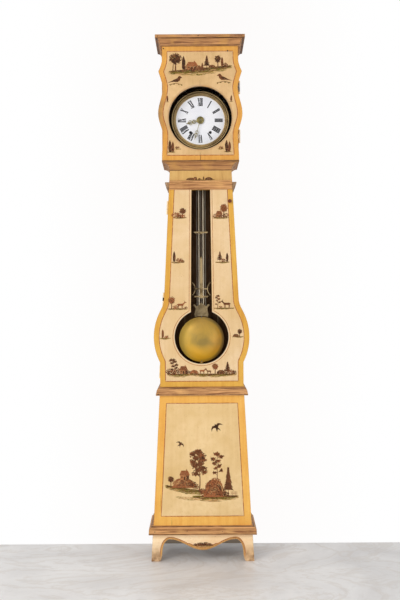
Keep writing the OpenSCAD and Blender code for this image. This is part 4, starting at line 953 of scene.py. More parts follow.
@dataclass(frozen=True)
class Rope:
    """Three strands laid together between two heights."""

    radius: float = 1.5
    lay: float = 11.0

    def hang(self, name: str, top: Point3, low_z: float, material: Material) -> Mesh:
        """Builds the rope.

        Args:
            name: the mesh's name.
            top: upper end.
            low_z: height of the lower end.
            material: the fibre.

        Returns:
            The rope's mesh.
        """
        length = (top[2] - low_z) * MM
        tree = NodeTree(name + "_strands", Length=length, Turn=self.lay * MM, Offset=self.radius * 0.52 * MM,
                        Strand=self.radius * 0.47 * MM, Steps=int(length / (self.lay * MM) * 7))
        down = tree.one("ShaderNodeCombineXYZ", {"Z": tree.calc("MULTIPLY", "Length", -1.0)})
        line = tree.one("GeometryNodeMeshLine", {"Count": "Steps", "Offset": down}, mode="END_POINTS",
                        count_mode="TOTAL")
        height = tree.add("ShaderNodeSeparateXYZ", {0: tree.one("GeometryNodeInputPosition")}).outputs[2]
        turn = tree.calc("MULTIPLY", tree.calc("DIVIDE", height, "Turn"), 2 * math.pi)
        ring = tree.one("GeometryNodeCurvePrimitiveCircle", {"Resolution": 6, "Radius": "Strand"})
        rope = tree.add("GeometryNodeJoinGeometry")
        for start in round_angles(3):
            angle = tree.calc("ADD", turn, start)
            swing = tree.one("ShaderNodeCombineXYZ", {
                "X": tree.calc("MULTIPLY", tree.calc("COSINE", angle), "Offset"),
                "Y": tree.calc("MULTIPLY", tree.calc("SINE", angle), "Offset")})
            moved = tree.one("GeometryNodeSetPosition", {"Geometry": line, "Offset": swing})
            path = tree.one("GeometryNodeMeshToCurve", {"Mesh": moved})
            strand = tree.one("GeometryNodeCurveToMesh", {"Curve": path, "Profile Curve": ring,
                                                          "Fill Caps": True})
            tree.tree.links.new(strand, rope.inputs[0])
        placed = tree.one("GeometryNodeTransform", {"Geometry": rope.outputs[0],
                                                    "Translation": [c * MM for c in top]})
        mesh = tree.run(bpy.data.meshes.new(name + "_blank"), placed, material, name)
        mesh.shade_smooth()
        return mesh


# ------------------------------------------------------------ case outlines


def swell(z0: float, w0: float, z1: float, w1: float, steps: int) -> list[Point]:
    """Points of a smooth rise or fall between two widths, level at both ends."""
    return [(w0 + (w1 - w0) * (1 - math.cos(math.pi * t)) / 2, z0 + (z1 - z0) * t)
            for t in shares(steps)[:-1]]


def belly_half(z: float) -> float:
    """Half width of the trunk door on the arc of its belly."""
    return BELLY_HALF - BELLY_R + math.sqrt(BELLY_R**2 - (z - BELLY_Z) ** 2)


def trunk_door_edge() -> list[Point]:
    """Right edge of the trunk door, from its foot to the neck moulding."""
    low, high, hollow = BELLY_Z - 114, BELLY_Z + 118, BELLY_Z + 172
    edge = [(trunk_half(MID_TOP_Z), MID_TOP_Z + 1), (TRUNK_HALF, low)]
    edge += [(belly_half(low + (high - low) * t), low + (high - low) * t) for t in shares(24)]
    edge += [(belly_half(high) + (trunk_half(hollow) - belly_half(high)) * math.sin(math.pi / 2 * t),
              high + (hollow - high) * t) for t in shares(8)[1:]]
    return [*edge, (trunk_half(NECK_TOP_Z), NECK_TOP_Z)]


def head_door_edge() -> list[Point]:
    """Right edge of the head door, from foot to crown."""
    half, swell_z, top = HEAD_HALF, DIAL_Z + 19, CROWN_Z - 1
    low, high = HINGE_ZS
    ear, ear_top = high + (top - high) * 0.387, high + (top - high) * 0.718
    edge = [(half + 0.7, HEAD_Z + 1)]
    edge += swell(HEAD_Z + 12, half + 0.7, low, half - 4, 10)
    edge += swell(low, half - 4, swell_z, half + 17, 14)
    edge += swell(swell_z, half + 17, high, half - 4, 14)
    edge += [(half - 4 + 19 * t**1.3, high + (ear - high) * t) for t in shares(8)[:-1]]
    edge += [(half + 15 - 17 * (1 - (1 - t) ** 1.8), ear + (ear_top - ear) * t) for t in shares(8)]
    return [*edge, (half - 2, top)]


def inside_margin(edge: Sequence[Point], width: float, z0: float, z1: float) -> list[Point]:
    """Follows an edge at a set distance inside it, with a point about every 6 mm.

    Args:
        edge: half widths and heights of the edge, rising.
        width: the distance.
        z0: height where the line starts.
        z1: height where it ends.

    Returns:
        Points of the line, rising.
    """
    def half(z: float) -> float:
        """Half width of the edge at a height."""
        for (x0, low), (x1, high) in zip(edge, edge[1:]):
            if low <= z <= high and high > low:
                return x0 + (x1 - x0) * (z - low) / (high - low)
        return edge[0][0] if z < edge[0][1] else edge[-1][0]

    offsets = [width * k / 10 for k in range(-10, 11)]
    heights = [z0 + (z1 - z0) * t for t in shares(round((z1 - z0) / 6))]
    return [(min(half(z + off) - math.sqrt(width**2 - off**2) for off in offsets), z) for z in heights]


# ----------------------------------------------------------- small scenes


class Tint(Enum):
    """Colours of the small scenes."""

    DARK = "3A2416"
    BROWN = "5E3820"
    RUST = "8C5230"
    CLAY = "A46C42"
    OLIVE = "665A20"
    MOSS = "8A7634"
    TAN = "BD9460"


class Scenery(Relief):
    """Brush strokes that make trees, cottages, mounds, hedges, birds and farm animals."""

    LIFT = 0.003

    def __init__(self, ground: float, seed: int) -> None:
        """Starts a scene with its own fixed chance."""
        super().__init__(ground, 0.24)
        self.chance = random.Random(seed)
        self.pick = self.chance.choice
        self.any = self.chance.uniform
        self.laid: list[tuple[float, float, float, float, int]] = []

    def paint(self, outline: Sequence[Point], tint: Tint, cover: float = 0.9) -> None:
        """Lays one stroke over those that it crosses.

        Args:
            outline: points round the stroke, anticlockwise.
            tint: its colour, whose lightness strays a little.
            cover: how much of the ground it hides, from 0 to 1.
        """
        xs, zs = zip(*outline)
        left, right, low, high = min(xs), max(xs), min(zs), max(zs)
        under = [n for x0, x1, z0, z1, n in self.laid if x0 < right and left < x1 and z0 < high and low < z1]
        level = max(under, default=0) + 1
        self.laid.append((left, right, low, high, level))
        k = 1 + self.any(-0.28, 0.28)
        red, green, blue, _ = linear(tint.value)
        self.shape(outline, (red * k, green * k, blue * k, cover), lift=level * self.LIFT)

    def dab(self, x: float, z: float, size: float, tint: Tint, flat: float = 0.5, turn: float | None = None,
            cover: float = 0.85) -> None:
        """Lays one leaf-shaped touch of the brush."""
        turn = self.any(0, math.pi) if turn is None else turn
        ring = []
        for a in round_angles(7):
            r = size * (1 + self.any(-0.22, 0.22))
            ring.append((r * math.cos(a), r * flat * math.sin(a)))
        self.paint(turned(ring, turn, (x, z)), tint, cover)

    def limb(self, path: Sequence[Point], thick: float, thin: float, tint: Tint, cover: float = 0.9) -> None:
        """Lays a stroke that thins towards its end."""
        pieces = stroke(path, [thick + (thin - thick) * t for t in shares(len(path) - 1)])
        right = [p[0] for p in pieces] + [pieces[-1][1]]
        left = [p[3] for p in pieces] + [pieces[-1][2]]
        self.paint(right + left[::-1], tint, cover)

    def patch(self, x: float, z: float, wide: float, tall: float, count: int, vary: Point,
              tint: Tint) -> None:
        """Fills an oval of half sizes wide and tall, with a ragged edge of count points."""
        self.paint([(x + wide * math.cos(a) * self.any(*vary), z + tall * math.sin(a) * self.any(*vary))
                    for a in round_angles(count)], tint, 0.85)

    def wash(self, x0: float, x1: float, z: float, depth: float, tints: Sequence[Tint], slope: float = 0.0,
             cover: float = 0.55, thick: float = 1.0) -> None:
        """Brushes ground in with level strokes, fewer towards its ends and its lower side."""
        span = x1 - x0
        # Along and above the stroke's middle, as shares of its reach and half width
        form = ((-1, 0), (-0.4, -1), (0.5, -0.8), (1, 0), (0.3, 1), (-0.5, 0.7))
        for _ in range(int(span * depth / (11 * thick))):
            t = self.any(0.02, 0.98)
            down = self.any(0, 1) ** 1.3 * math.sin(math.pi * t) ** 0.5
            x, y = x0 + span * t, z + slope * (x0 + span * t) - depth * down
            reach = min(self.any(4, 13) * (0.5 + thick / 2), x - x0 + 1, x1 - x + 1)
            half, tilt = self.any(0.5, 1.1) * thick, slope + self.any(-0.06, 0.06)
            self.paint([(x + reach * u, y + half * v + reach * u * tilt) for u, v in form],
                       self.pick(tints), cover * self.any(0.7, 1.2))

    def turf(self, x0: float, x1: float, z: float, depth: float, slope: float = 0.0,
             thick: float = 1.0) -> None:
        """Brushes in moss-coloured ground with a browner edge and tufts along it."""
        span, dark = x1 - x0, [Tint.OLIVE, Tint.BROWN, Tint.DARK]
        low = [(x0 + span * t, z + slope * (x0 + span * t) - depth * 0.62 * math.sin(math.pi * t) ** 0.6
                * self.any(0.8, 1.1) - 0.3) for t in shares(14)]
        high = [(x0 + span * t, z + slope * (x0 + span * t) + self.any(-0.3, 0.5) * thick + 0.3)
                for t in shares(14)]
        self.paint(low + high[::-1], Tint.MOSS, 0.9)
        self.wash(x0, x1, z, depth, [Tint.MOSS, Tint.OLIVE, Tint.TAN], slope, 0.7, thick)
        self.wash(x0 + 4, x1 - 4, z, depth * 0.6, [Tint.OLIVE, Tint.OLIVE, Tint.BROWN], slope, 0.9, thick)
        self.wash(x0 + 8, x1 - 6, z, depth * 0.3, dark, slope, 0.9, thick * 0.8)
        for _ in range(int(span / 5)):
            x = self.any(x0, x1)
            y = z + slope * x - self.any(0, depth * 0.7)
            self.limb([(x, y), (x + self.any(-1, 1), y + self.any(1.4, 3.4) * thick)], 1.0, 0.4,
                      self.pick([Tint.OLIVE, Tint.BROWN]), 0.7)

    def leaves(self, x: float, z: float, wide: float, tall: float, tints: Sequence[Tint], size: float = 1.8,
               packed: float = 1.2, cover: float = 0.95) -> None:
        """Dabs leaves over an oval, closer together towards its middle."""
        for _ in range(int(packed * wide * tall / (size * size * 2.2))):
            a, r = self.any(0, 2 * math.pi), self.any(0, 1) ** 0.62
            u, v = math.cos(a) * r, math.sin(a) * r
            self.dab(x + u * wide / 2, z + v * tall / 2, size * self.any(0.7, 1.3), self.pick(tints), 0.5,
                     math.atan2(v + 0.2, u) + self.any(-0.7, 0.7), cover)

    def clump(self, x: float, z: float, wide: float, tall: float, size: float, tint: Tint) -> None:
        """Fills a ragged patch of foliage and dabs pointed leaves over it and round it."""
        self.patch(x, z, wide * 0.36, tall * 0.36, 11, (0.75, 1.2), tint)
        self.leaves(x, z, wide, tall, [tint, tint, Tint.DARK, Tint.RUST], size, 0.95)

    def leafy_tree(self, x: float, z: float, tall: float, spread: float, lean: float = 0.0,
                   tint: Tint = Tint.BROWN, clumps: int = 7, foot: float = 0.3) -> None:
        """Draws a thin stem with heavy clumps of leaves to either side of it, from the share foot upwards."""
        def along(t: float) -> Point:
            """Returns the stem's point at a share of its height."""
            return x + lean * t**1.5 + math.sin(t * 5) * spread * 0.05, z + tall * 0.9 * t

        self.limb([along(t) for t in shares(6)], tall * 0.022 + 1.2, 1.0, Tint.BROWN)
        size = 1.3 + tall * 0.013
        for i in range(clumps):
            t = foot + (0.98 - foot) * i / (clumps - 1)
            side = (-1, 1, -0.35, 0.8, -0.9, 0.3)[i % 6]
            wide = spread * (0.34 + 0.14 * t) * self.any(0.85, 1.15)
            (sx, sz), reach = along(t), side * spread * 0.28 * self.any(0.8, 1.15)
            tip = (sx + reach, sz + tall * 0.02)
            self.limb([(sx, sz - tall * 0.04), (sx + reach * 0.6, sz), tip], 1.6, 0.8, Tint.BROWN)
            self.clump(*tip, wide, spread * (0.24 + 0.12 * t), size, tint)
        self.clump(*along(1.0), spread * 0.4, spread * 0.36, size, tint)

    def round_tree(self, x: float, z: float, tall: float, spread: float, tint: Tint = Tint.DARK) -> None:
        """Draws a full crown on a short trunk."""
        self.limb([(x, z), (x + 0.4, z + tall * 0.55)], tall * 0.07 + 1.0, tall * 0.04 + 0.6, Tint.BROWN)
        size, middle = 1.2 + spread * 0.018, z + tall * 0.68
        self.patch(x, middle, spread * 0.4, tall * 0.27, 15, (0.85, 1.1), tint)
        self.leaves(x, middle, spread, tall * 0.64, [tint, tint, Tint.BROWN, Tint.DARK], size, 1.0)
        self.leaves(x - spread * 0.16, z + tall * 0.8, spread * 0.5, tall * 0.3, [Tint.RUST, Tint.OLIVE],
                    size, 0.25, 0.7)

    def cypress(self, x: float, z: float, tall: float, tint: Tint = Tint.DARK) -> None:
        """Draws a tall narrow tree."""
        wide, rising = tall * 0.12 + 1.0, (0.03, 0.2, 0.4, 0.6, 0.8)
        outline = [(x + side * wide * math.sin(math.pi * (0.12 + 0.86 * t)) ** 0.8 * self.any(0.82, 1.1),
                    z + tall * t) for side, ts in ((1, rising), (-1, rising[::-1])) for t in ts]
        outline.insert(len(rising), (x, z + tall))
        self.paint(outline, tint, 0.85)
        for _ in range(int(tall / 2)):
            t = self.any(0.04, 0.9)
            self.dab(x + self.any(-1, 1) * wide * (1 - t * 0.7), z + tall * t, 1.7,
                     self.pick([tint, tint, Tint.RUST]), 0.4, math.pi / 2 + self.any(-0.4, 0.4))

    def fir(self, x: float, z: float, tall: float, spread: float, tint: Tint = Tint.DARK) -> None:
        """Draws a fir whose boughs droop in tiers from a thin stem."""
        self.limb([(x, z), (x, z + tall)], 2.4, 0.8, Tint.BROWN)
        tiers = int(4 + tall / 9)
        for i in range(tiers):
            t = 0.2 + 0.78 * i / tiers
            y = z + tall * t
            for side in (-1, 1):
                reach = side * spread * 0.55 * (1.04 - t) * self.any(0.8, 1.15)
                bough = ((0.0, 0.03), (0.5, 0.015), (1.0, -0.03))
                self.limb([(x + reach * u, y + tall * v) for u, v in bough], tall * 0.075 + 1.4, 1.2,
                          self.pick([tint, tint, Tint.BROWN]))

    def bush(self, x: float, z: float, size: float, tint: Tint = Tint.BROWN) -> None:
        """Draws a low bush."""
        self.leaves(x, z + size * 0.3, size * 1.1, size * 0.74, [tint, tint, Tint.DARK, Tint.RUST],
                    1.3 + size * 0.03, 1.4)

    def mound(self, x: float, z: float, wide: float, tall: float, tint: Tint = Tint.CLAY) -> None:
        """Draws a rounded mound or haystack with strokes that follow its shape."""
        def at(t: float, k: float) -> Point:
            """Returns the point at a share t of the way round, and a share k of the way out."""
            return x + wide / 2 * k * math.cos(math.pi * t), z + tall * k * math.sin(math.pi * t) ** 0.75

        straw = [Tint.RUST, Tint.BROWN, Tint.BROWN, Tint.DARK, Tint.CLAY, Tint.TAN]
        self.paint([at(i / 14, self.any(0.88, 1.06)) for i in range(15)], tint, 0.8)
        for _ in range(int(wide * tall / 32) + 8):
            k, t = self.any(0.25, 1.0), self.any(0.04, 0.78)
            self.limb([at(t + 0.18 * part, k) for part in shares(4)], tall * 0.035 + 0.9, 0.6,
                      self.pick(straw), 0.85)
        self.leaves(x, z + tall * 0.5, wide * 0.8, tall * 0.8, [Tint.BROWN, Tint.DARK, tint],
                    1.0 + tall * 0.03, 0.3, 0.7)
        foot = wide * 0.48
        self.limb([(x - foot, z + 0.5), (x, z + 1), (x + foot, z + 0.5)], 1.8, 1.2, Tint.BROWN, 0.8)

    def cottage(self, x: float, z: float, wide: float, tall: float) -> None:
        """Draws a small thatched cottage."""
        def boxes(*rows: tuple[float, float, float, float, Tint, float]) -> None:
            """Paints boxes, each by its sides, heights, tint and cover."""
            for left, right, low, high, tint, cover in rows:
                corners = ((left, low), (right, low), (right, high), (left, high))
                self.paint([(x + u * wide, z + v) for u, v in corners], tint, cover)

        wall = tall * 0.55
        boxes((-0.5, 0.5, 0, wall, Tint.CLAY, 0.85), (0.18, 0.5, 0, wall, Tint.BROWN, 0.75))
        self.leaves(x, z + wall / 2, wide * 0.9, wall * 0.8, [Tint.RUST, Tint.BROWN], 1.4, 0.35, 0.6)
        roof = ((-0.6, wall * 0.9), (0.6, wall * 0.9), (0.36, tall), (-0.36, tall))
        self.paint([(x + wide * u, z + v) for u, v in roof], Tint.RUST)
        for i in range(7):
            u = -0.5 + i / 6.5
            self.limb([(x + wide * u * 0.62, z + tall * 0.97), (x + wide * u, z + wall * 0.93)], 1.1, 1.6,
                      Tint.DARK, 0.7)
        boxes((-0.1, 0.08, 0, wall * 0.62, Tint.DARK, 0.85),
              (-0.36, -0.24, wall * 0.35, wall * 0.68, Tint.DARK, 0.8),
              (0.26, 0.38, wall * 0.35, wall * 0.68, Tint.DARK, 0.8),
              (0.18, 0.28, tall * 0.92, tall * 1.14, Tint.RUST, 0.8))

    def fence(self, x0: float, x1: float, z: float, tall: float) -> None:
        """Draws posts and two rails."""
        for t in shares(max(2, round((x1 - x0) / 7))):
            x = x0 + (x1 - x0) * t
            self.limb([(x, z), (x + 0.3, z + tall)], 1.4, 1.0, Tint.BROWN)
        for h in (0.45, 0.8):
            rail = z + tall * h
            self.limb([(x0, rail), ((x0 + x1) / 2, rail + 0.5), (x1, rail)], 1.1, 0.9, Tint.RUST)

    def beast(self, x: float, z: float, size: float, way: int = 1, tint: Tint = Tint.RUST) -> None:
        """Draws a standing goat or donkey; way 1 looks right."""
        at = partial(drawn, x, z, size, way)
        for u in (-0.34, -0.24, 0.2, 0.32):
            self.limb(at((u, 0.42), (u - 0.03, 0.2), (u, 0.0)), size * 0.09, size * 0.05, Tint.BROWN)
        self.paint(at((-0.42, 0.52), (-0.38, 0.4), (-0.1, 0.36), (0.2, 0.36), (0.38, 0.42), (0.42, 0.56),
                      (0.3, 0.66), (0.0, 0.64), (-0.3, 0.66))[::way], tint)
        self.limb(at((0.32, 0.56), (0.5, 0.72), (0.56, 0.84)), size * 0.2, size * 0.12, tint)
        head = at((0.5, 0.92), (0.48, 0.8), (0.62, 0.76), (0.78, 0.74), (0.8, 0.8), (0.64, 0.9))
        self.paint(head[::way], tint)
        self.limb(at((0.54, 0.9), (0.46, 1.08)), size * 0.05, size * 0.02, Tint.DARK)
        self.limb(at((-0.41, 0.58), (-0.52, 0.44)), size * 0.06, size * 0.02, Tint.DARK)

    def swallow(self, x: float, z: float, span: float, turn: float) -> None:
        """Draws a swallow on the wing, turned by an angle in degrees."""
        outline = [(0.05, 0.16), (0.24, 0.22), (0.42, 0.1), (0.54, -0.12), (0.36, 0.02), (0.22, 0.03),
                   (0.1, -0.08), (0.18, -0.44), (0.02, -0.2), (-0.16, -0.42), (-0.1, -0.06), (-0.24, 0.02),
                   (-0.38, -0.02), (-0.52, -0.2), (-0.44, 0.06), (-0.26, 0.2), (-0.07, 0.16), (0.0, 0.3)]
        self.paint(turned(outline, math.radians(turn), (x, z), span), Tint.DARK)

    def perched_bird(self, x: float, z: float, size: float, way: int = 1) -> None:
        """Draws a long-tailed bird on a twig; way 1 looks right."""
        at = partial(drawn, x, z, size, way)
        self.limb(at((-0.62, -0.16), (-0.1, -0.02), (0.5, -0.14)), size * 0.06, size * 0.03, Tint.BROWN)
        self.paint(at((-0.8, 0.02), (-0.3, 0.1), (0.1, 0.08), (0.3, 0.22), (0.36, 0.42), (0.52, 0.42),
                      (0.42, 0.52), (0.3, 0.62), (0.16, 0.56), (0.08, 0.42), (-0.2, 0.3),
                      (-0.4, 0.18))[::way], Tint.BROWN)
        wing = at((-0.5, 0.1), (-0.1, 0.14), (0.16, 0.26), (0.06, 0.36), (-0.2, 0.26))
        self.paint(wing[::way], Tint.DARK, 0.8)
        for spot in at((-0.5, -0.16), (-0.2, -0.1), (0.2, -0.12), (0.44, -0.18)):
            self.dab(*spot, size * 0.09, Tint.OLIVE)


# -------------------------------------------------------------- the clock

# Short names for the rows of the scenes' tables
DARK, BROWN, RUST = Tint.DARK, Tint.BROWN, Tint.RUST
WASH, TURF, FENCE, LIMB, COTTAGE = Scenery.wash, Scenery.turf, Scenery.fence, Scenery.limb, Scenery.cottage
MOUND, BUSH, FIR, CYPRESS = Scenery.mound, Scenery.bush, Scenery.fir, Scenery.cypress
ROUND_TREE, LEAFY_TREE, BEAST = Scenery.round_tree, Scenery.leafy_tree, Scenery.beast
SWALLOW, PERCHED_BIRD = Scenery.swallow, Scenery.perched_bird


@dataclass
class Section:
    """A part of the clock; dressed names the CAD nodes that take each finish."""

    paints: dict[str, Material]
    body: ClassVar[str] = "case"
    dressed: ClassVar[dict[str, str]] = {}

    def build(self) -> None:
        """Dresses the CAD nodes and makes the pieces."""
        for finish, names in self.dressed.items():
            for name in names.split():
                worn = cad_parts[name].data.materials
                worn.clear()
                worn.append(self.paints[finish])
        self.pieces()

    def pieces(self) -> None:
        """Makes the pieces of this part, where it has any."""

    def field(self, ground: float, finish: str, outline: Sequence[Point],
              holes: Sequence[Sequence[Point]] = ()) -> None:
        """Lays a cream field, named after its finish."""
        sheet = Relief(ground)
        sheet.shape(outline, holes=holes)
        sheet.piece(finish + "_field", self.paints[finish], self.body, "cream_paint")

    def lines(self, name: str, relief: Relief, finish: str, slot: str, *bands: tuple[Sequence[Point], Any],
              closed: bool = False) -> None:
        """Makes one piece of painted lines or cracks, each band a path and its widths."""
        for path, widths in bands:
            relief.band(path, widths, closed)
        relief.piece(name, self.paints[finish], self.body, slot)

    def scene(self, name: str, ground: float, seed: int, *strokes: tuple[Any, ...],
              slot: str = "cream_paint") -> None:
        """Paints one scene; each row is what Scenery draws, with its place and sizes."""
        pen = Scenery(ground, seed)
        for draw, *values in strokes:
            draw(pen, *values)
        pen.piece(name, self.paints["scenery_paint"], self.body, slot)

    def drive(self, name: str, heads: Heads, points: Sequence[Point3], facing: Facing, finish: str,
              body: str) -> None:
        """Sets nail or screw heads at points in millimetres."""
        mesh = heads.set_at(name, points, facing, self.paints[finish])
        seat(name, mesh, self.paints[finish], body, "hinge_iron")


@dataclass
class Base(Section):
    """The base box with its aprons, mouldings and painted front."""

    side_margin: float = 33.0
    low_z: float = 204.0
    high_z: float = BASE_TOP_Z - 36.0
    line: float = 3.4
    apron_band: float = 12.0
    arch_band: float = 8.0
    dressed: ClassVar[dict[str, str]] = {
        "base_front_yellow": "base_front_panel", "base_side_paint": "base_sides apron_sides",
        "inside_wood": "base_floor", "worn_moulding": "base_moulding", "apron_paint": "apron_front",
        "back_wood": "back_boards"}

    def pieces(self) -> None:
        """Draws the base's front and its apron."""
        self.field(BASE_FACE_Y, "base_cream", self.corners())
        self.lines("base_red_line", Relief(BASE_FACE_Y, 0.2), "red_line", "yellow_paint",
                   (wavy(self.corners(1.0), 40.0, 0.35, 3), self.line), closed=True)
        self.apron_lines()
        self.scene(
            "base_scene", BASE_FACE_Y, 11,
            (WASH, -120, 60, 286, 14, [Tint.MOSS, Tint.TAN], -0.04, 0.5, 2.0),
            (TURF, -168, 18, 316, 24, -0.16, 2.2), (TURF, -46, 162, 294, 26, 0.0, 2.2),
            (MOUND, -86, 330, 104, 44, RUST), (ROUND_TREE, -142, 336, 48, 28, BROWN),
            (COTTAGE, -80, 366, 40, 42), (LEAFY_TREE, -14, 314, 196, 80, -4.0, BROWN, 12, 0.42),
            (BUSH, -48, 336, 36, BROWN), (BUSH, -30, 326, 32, DARK), (BUSH, -4, 308, 30, BROWN),
            (LEAFY_TREE, 62, 330, 168, 56, 8.0, BROWN, 9, 0.42), (MOUND, 52, 288, 90, 78, RUST),
            (BUSH, 8, 296, 34, RUST), (BUSH, 34, 330, 40, RUST), (BUSH, 58, 346, 42, RUST),
            (BUSH, 84, 296, 44, BROWN), (FIR, 116, 296, 128, 48, BROWN), (BUSH, 104, 292, 30, DARK),
            (FENCE, 128, 154, 294, 20), (SWALLOW, 64, 603, 56, 28), (SWALLOW, -98, 527, 38, -35))
        hedge = ((-34, 13), (-22, 17), (-9, 20), (3, 17), (15, 21), (28, 16), (38, 11))
        pairs = (pair for x, size in hedge
                 for pair in ((BUSH, x, 72, size, DARK), (BUSH, x + 4, 70, size * 0.7, BROWN)))
        self.scene("apron_hedge", BASE_FACE_Y, 12, (TURF, -46, 48, 72, 6), *pairs)

    def corners(self, grow: float = 0.0) -> list[Point]:
        """Returns the corners of the cream field, larger by grow."""
        low, high = self.low_z - grow, self.high_z + grow
        lx, hx = base_half(low) - self.side_margin + grow, base_half(high) - self.side_margin + grow
        return [(-lx, low), (lx, low), (hx, high), (-hx, high)]

    def apron_edge(self) -> list[Point]:
        """Returns the cut edge of the front apron, from the right foot to the left."""
        inner, flare, arch_x, spring, high, drop = 196.0, 14.0, 148.0, 38.0, 100.0, 51.0
        foot, arch = ([math.pi / 2 * t for t in shares(count)] for count in (8, 14))
        half = [(inner - flare * math.sin(a), spring * (1 - math.cos(a))) for a in foot[:-1]]
        half += [(arch_x + (inner - flare - arch_x) * math.cos(a), spring + (high - spring) * math.sin(a))
                 for a in arch]
        half += [(arch_x * (1 - t), high - (high - drop) * (1 - math.cos(math.pi * t)) / 2)
                 for t in shares(20)[1:]]
        return half + flip(half)[1:]

    def apron_lines(self) -> None:
        """Draws the yellow band and red line along the apron's cut edge."""
        edge = self.apron_edge()[5:-5]
        count, middle_x, level_x = len(edge), 60, 130
        taper = [min(1.0, 0.15 + 0.28 * min(i, count - 1 - i)) for i in range(count)]
        wide = [t * (self.apron_band if abs(x) < middle_x else self.arch_band)
                for t, (x, _) in zip(taper, edge)]

        def beside(share: float, gap: float) -> list[Point]:
            """Returns a line beside the edge, off by a share of the band and a gap."""
            line = []
            for i, (x, z) in enumerate(edge):
                a, b = edge[max(0, i - 1)], edge[min(count - 1, i + 1)]
                dx, dz = b[0] - a[0], b[1] - a[1]
                off = (self.arch_band * share + gap) / (math.hypot(dx, dz) or 1.0)
                above = (x, z + wide[i] * share + gap)
                line.append(above if abs(x) < level_x else (x + dz * off, z - dx * off))
            return line

        self.lines("apron_yellow_band", Relief(BASE_FACE_Y), "band_paint", "yellow_paint",
                   (beside(0.5, 0.6), wide))
        self.lines("apron_red_line", Relief(BASE_FACE_Y, 0.2), "red_line", "yellow_paint",
                   (beside(1.0, 1.0), [2.4 * t for t in taper]))


@dataclass
class Case(Section):
    """Trunk sides, frieze, cove, crown, back, and the nails and cracks in them."""

    dressed: ClassVar[dict[str, str]] = {
        "worn_moulding": "mid_moulding", "trunk_side_paint": "trunk_sides", "worn_returns": "neck_returns",
        "yellow_paint": "frieze_board", "worn_cove": "head_cove", "head_side_paint": "head_sides",
        "inside_wood": "head_top seat_board", "worn_crown": "crown_moulding"}

    def pieces(self) -> None:
        """Paints the frieze and adds nails and cracks."""
        self.scene("frieze_scene", TRUNK_FACE_Y, 31, (TURF, -66, 64, 1714, 4),
                   (MOUND, -44, 1713, 40, 10, BROWN), (COTTAGE, -24, 1713, 14, 13),
                   (BUSH, -6, 1713, 12, BROWN), (CYPRESS, 13, 1713, 16),
                   (MOUND, 36, 1713, 34, 12, DARK), (BUSH, 52, 1713, 9, DARK), slot="yellow_paint")
        self.nails()
        self.lines("frieze_crack", Relief(TRUNK_FACE_Y, 0.05), "open_crack", "inside_wood",
                   ([(96, 1711), (97, 1726), (95.5, 1741), (96, 1752)], [0.3, 0.7, 0.5, 0.2]))
        self.lines("base_cracks", Relief(BASE_FACE_Y, 0.3), "open_crack", "inside_wood",
                   ([(-139, 163), (-138.2, 172), (-139.4, 184), (-138.8, 196)], [0.8, 1.0, 0.6, 0.2]),
                   ([(-190.8, 224), (-189, 262), (-187.5, 300)], [0.2, 0.7, 0.3]))

    def nails(self) -> None:
        """Drives nails into the mouldings and the back."""
        rows = {BASE_FACE_Y - 20: ((-214, 138), (-70, 141), (88, 138), (214, 140)),
                TRUNK_FACE_Y - 16.5: ((-196, 751), (192, 750), (-60, 750)),
                -140.0: ((-190, 2352), (186, 2353), (-8, 2354))}
        front = [(x, y + 0.3, z) for y, row in rows.items() for x, z in row]
        self.drive("moulding_nails", Heads(2.6, 0.5, seed=7), front, Facing.FRONT, "nail_iron", "case")
        halves = [(base_half(z) - 7, z) for z in range(150, 740, 72)]
        halves += [(trunk_half(z) - 6, z) for z in range(800, 1750, 95)]
        halves += [(165.0, z) for z in range(1815, 2320, 80)]
        back = [(side * half, BOARD_BACK_Y - 0.35, z) for half, z in halves for side in (-1, 1)]
        self.drive("back_nails", Heads(3.0, 0.35, seed=8), back, Facing.BACK, "nail_iron", "case")


